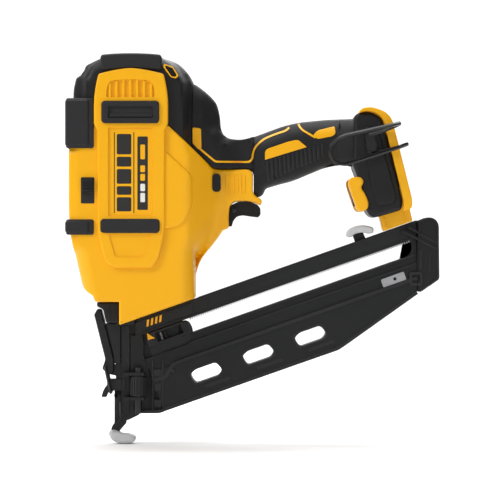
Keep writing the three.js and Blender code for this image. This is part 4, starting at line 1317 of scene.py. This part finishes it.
KNOB_AXIS = (16.6, -14.5)
KNOB = [(0, 0), (5.6, 0), (6.4, 0.8), (6.4, 15.8), (5.6, 16.6), (0, 16.6)]
KNOB_RIDGES = 18


def depth_knob():
    """A drum with ridges round it for the thumb."""
    parts = [turned(KNOB, (*KNOB_AXIS, 39.2), (0, 0, 1), 40)]
    for i in range(KNOB_RIDGES):
        turn = Matrix.Rotation(2 * math.pi * i / KNOB_RIDGES, 3, "Z")
        ridge = box((6, 6.9), (-0.45, 0.45), (40.6, 54.4), rim=0.2)
        bmesh.ops.rotate(ridge, cent=(0, 0, 0), matrix=turn, verts=ridge.verts)
        bmesh.ops.translate(ridge, vec=(*KNOB_AXIS, 0), verts=ridge.verts)
        parts.append(ridge)
    return parts


piece("depth_knob", depth_knob(), "rubber", body="depth_wheel", stands_for=["depth_wheel"])


# ---------------------------------------------------------------- contact trip and pads
TRIP_WIRE = ((1.7, 34.4), (1.9, 28), (2.1, 21.6), (-1.2, 17.6), (-4.6, 14.1), (-5, 11.2))
TRIP_WIRE_OUT = 9.9
TRIP = [
    (-5.6, 9.4, 1),
    (-3.4, 15.4, 1),
    (-3.4, 50, 1),
    (6.6, 50, 1),
    (6.6, 16.4, 1.5),
    (3.4, 13, 1.5),
    (0.4, 9.4, 1),
]
PAD = [
    (-8.6, 8.4, 2),
    (-6.4, 11.2, 2.4),
    (-1, 11, 2),
    (2.8, 7.6, 3),
    (11.4, 7.6, 3),
    (15.2, 4.2, 3),
    (12.4, 0, 3),
    (-1.5, 0, 4),
    (-5.8, 2.8, 4),
]
SPARE_PAD = [
    (234.6, 98.8, 2),
    (236.6, 103.2, 3),
    (243, 105, 4),
    (252, 103, 3),
    (258.8, 98.4, 2),
    (257.4, 94.2, 1.6),
    (253, 94.6, 2),
    (249.6, 97.4, 3),
    (242, 98.6, 2),
    (238.4, 96.6, 1.6),
]
STAND = [(240.4, 92, 0.4), (240.4, 99, 1), (249.2, 98.6, 1), (249.6, 92, 0.4)]
trip_wires = [wire([(x, side * TRIP_WIRE_OUT, z) for x, z in TRIP_WIRE], 0.9) for side in SIDES]
piece("trip_wires", trip_wires, "dark_steel", body="contact_trip")
trip = both(TRIP, 0.1, 6.2, rim=0.7)
piece("trip_foot", trip, "casting", body="contact_trip", stands_for=["contact_trip"])
pads = [
    carved(half, box((3.4, 8.6), (-3.4, 3.4), (-1, 20), rim=0))
    for half in both(PAD, 0, 9, rim=2.4, steps=5)
]
piece("pad_cover", pads, "pad", body="contact_trip", stands_for=["no_mar_pad"])
spare = tilted_both(SPARE_PAD, 0, 9, rim=1.8, steps=4)
piece("spare_cover", spare, "pad", stands_for=["spare_pad"])
stand = tilted_both(STAND, 0.1, 5, rim=0.6)
piece("spare_stand", stand, "black", stands_for=["spare_pad_post"])

# ---------------------------------------------------------------- carried-over pieces
CARRIED = {
    "indicator_bezel": "yellow",
    "mode_selector_bezel": "yellow",
    "trigger": "black",
    "lock_off_button": "black",
    "battery_terminal_block": "deep",
    "mode_selector": "black",
    "stall_release_lever": "black",
    "nose_cowl": "casting",
    "trigger_pin": "deep",
    "magazine_channel": "magazine",
    "magazine_rear_cap": "magazine",
    "pusher": "magazine",
    "drive_frame": "casting",
    "pinch_arm": "casting",
    "trigger_switch": "black",
    "nose_body": "casting",
    "latch_lever": "casting",
    "contact_trip": "casting",
    "driver": "dark_steel",
    "belt_hook": "dark_steel",
    "hook_screw": "dark_steel",
    "latch_bail": "dark_steel",
    "depth_stop": "dark_steel",
    "nose_door": "casting",
    "control_board": "ink",
    "motor_stator": "copper",
    "solenoid": "copper",
    "indicator_lens": "lens",
}
for name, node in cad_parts.items():
    if node.hide_render:
        continue
    look = LOOKS[CARRIED.get(name, "steel")]
    node.data.materials.clear()
    node.data.materials.append(look)
    for face in node.data.polygons:
        face.use_smooth = True
    joined = node.modifiers.new("joined", "WELD")
    joined.merge_threshold = 0.00001
    crisp = node.modifiers.new("crisp", "EDGE_SPLIT")
    crisp.split_angle = math.radians(32)
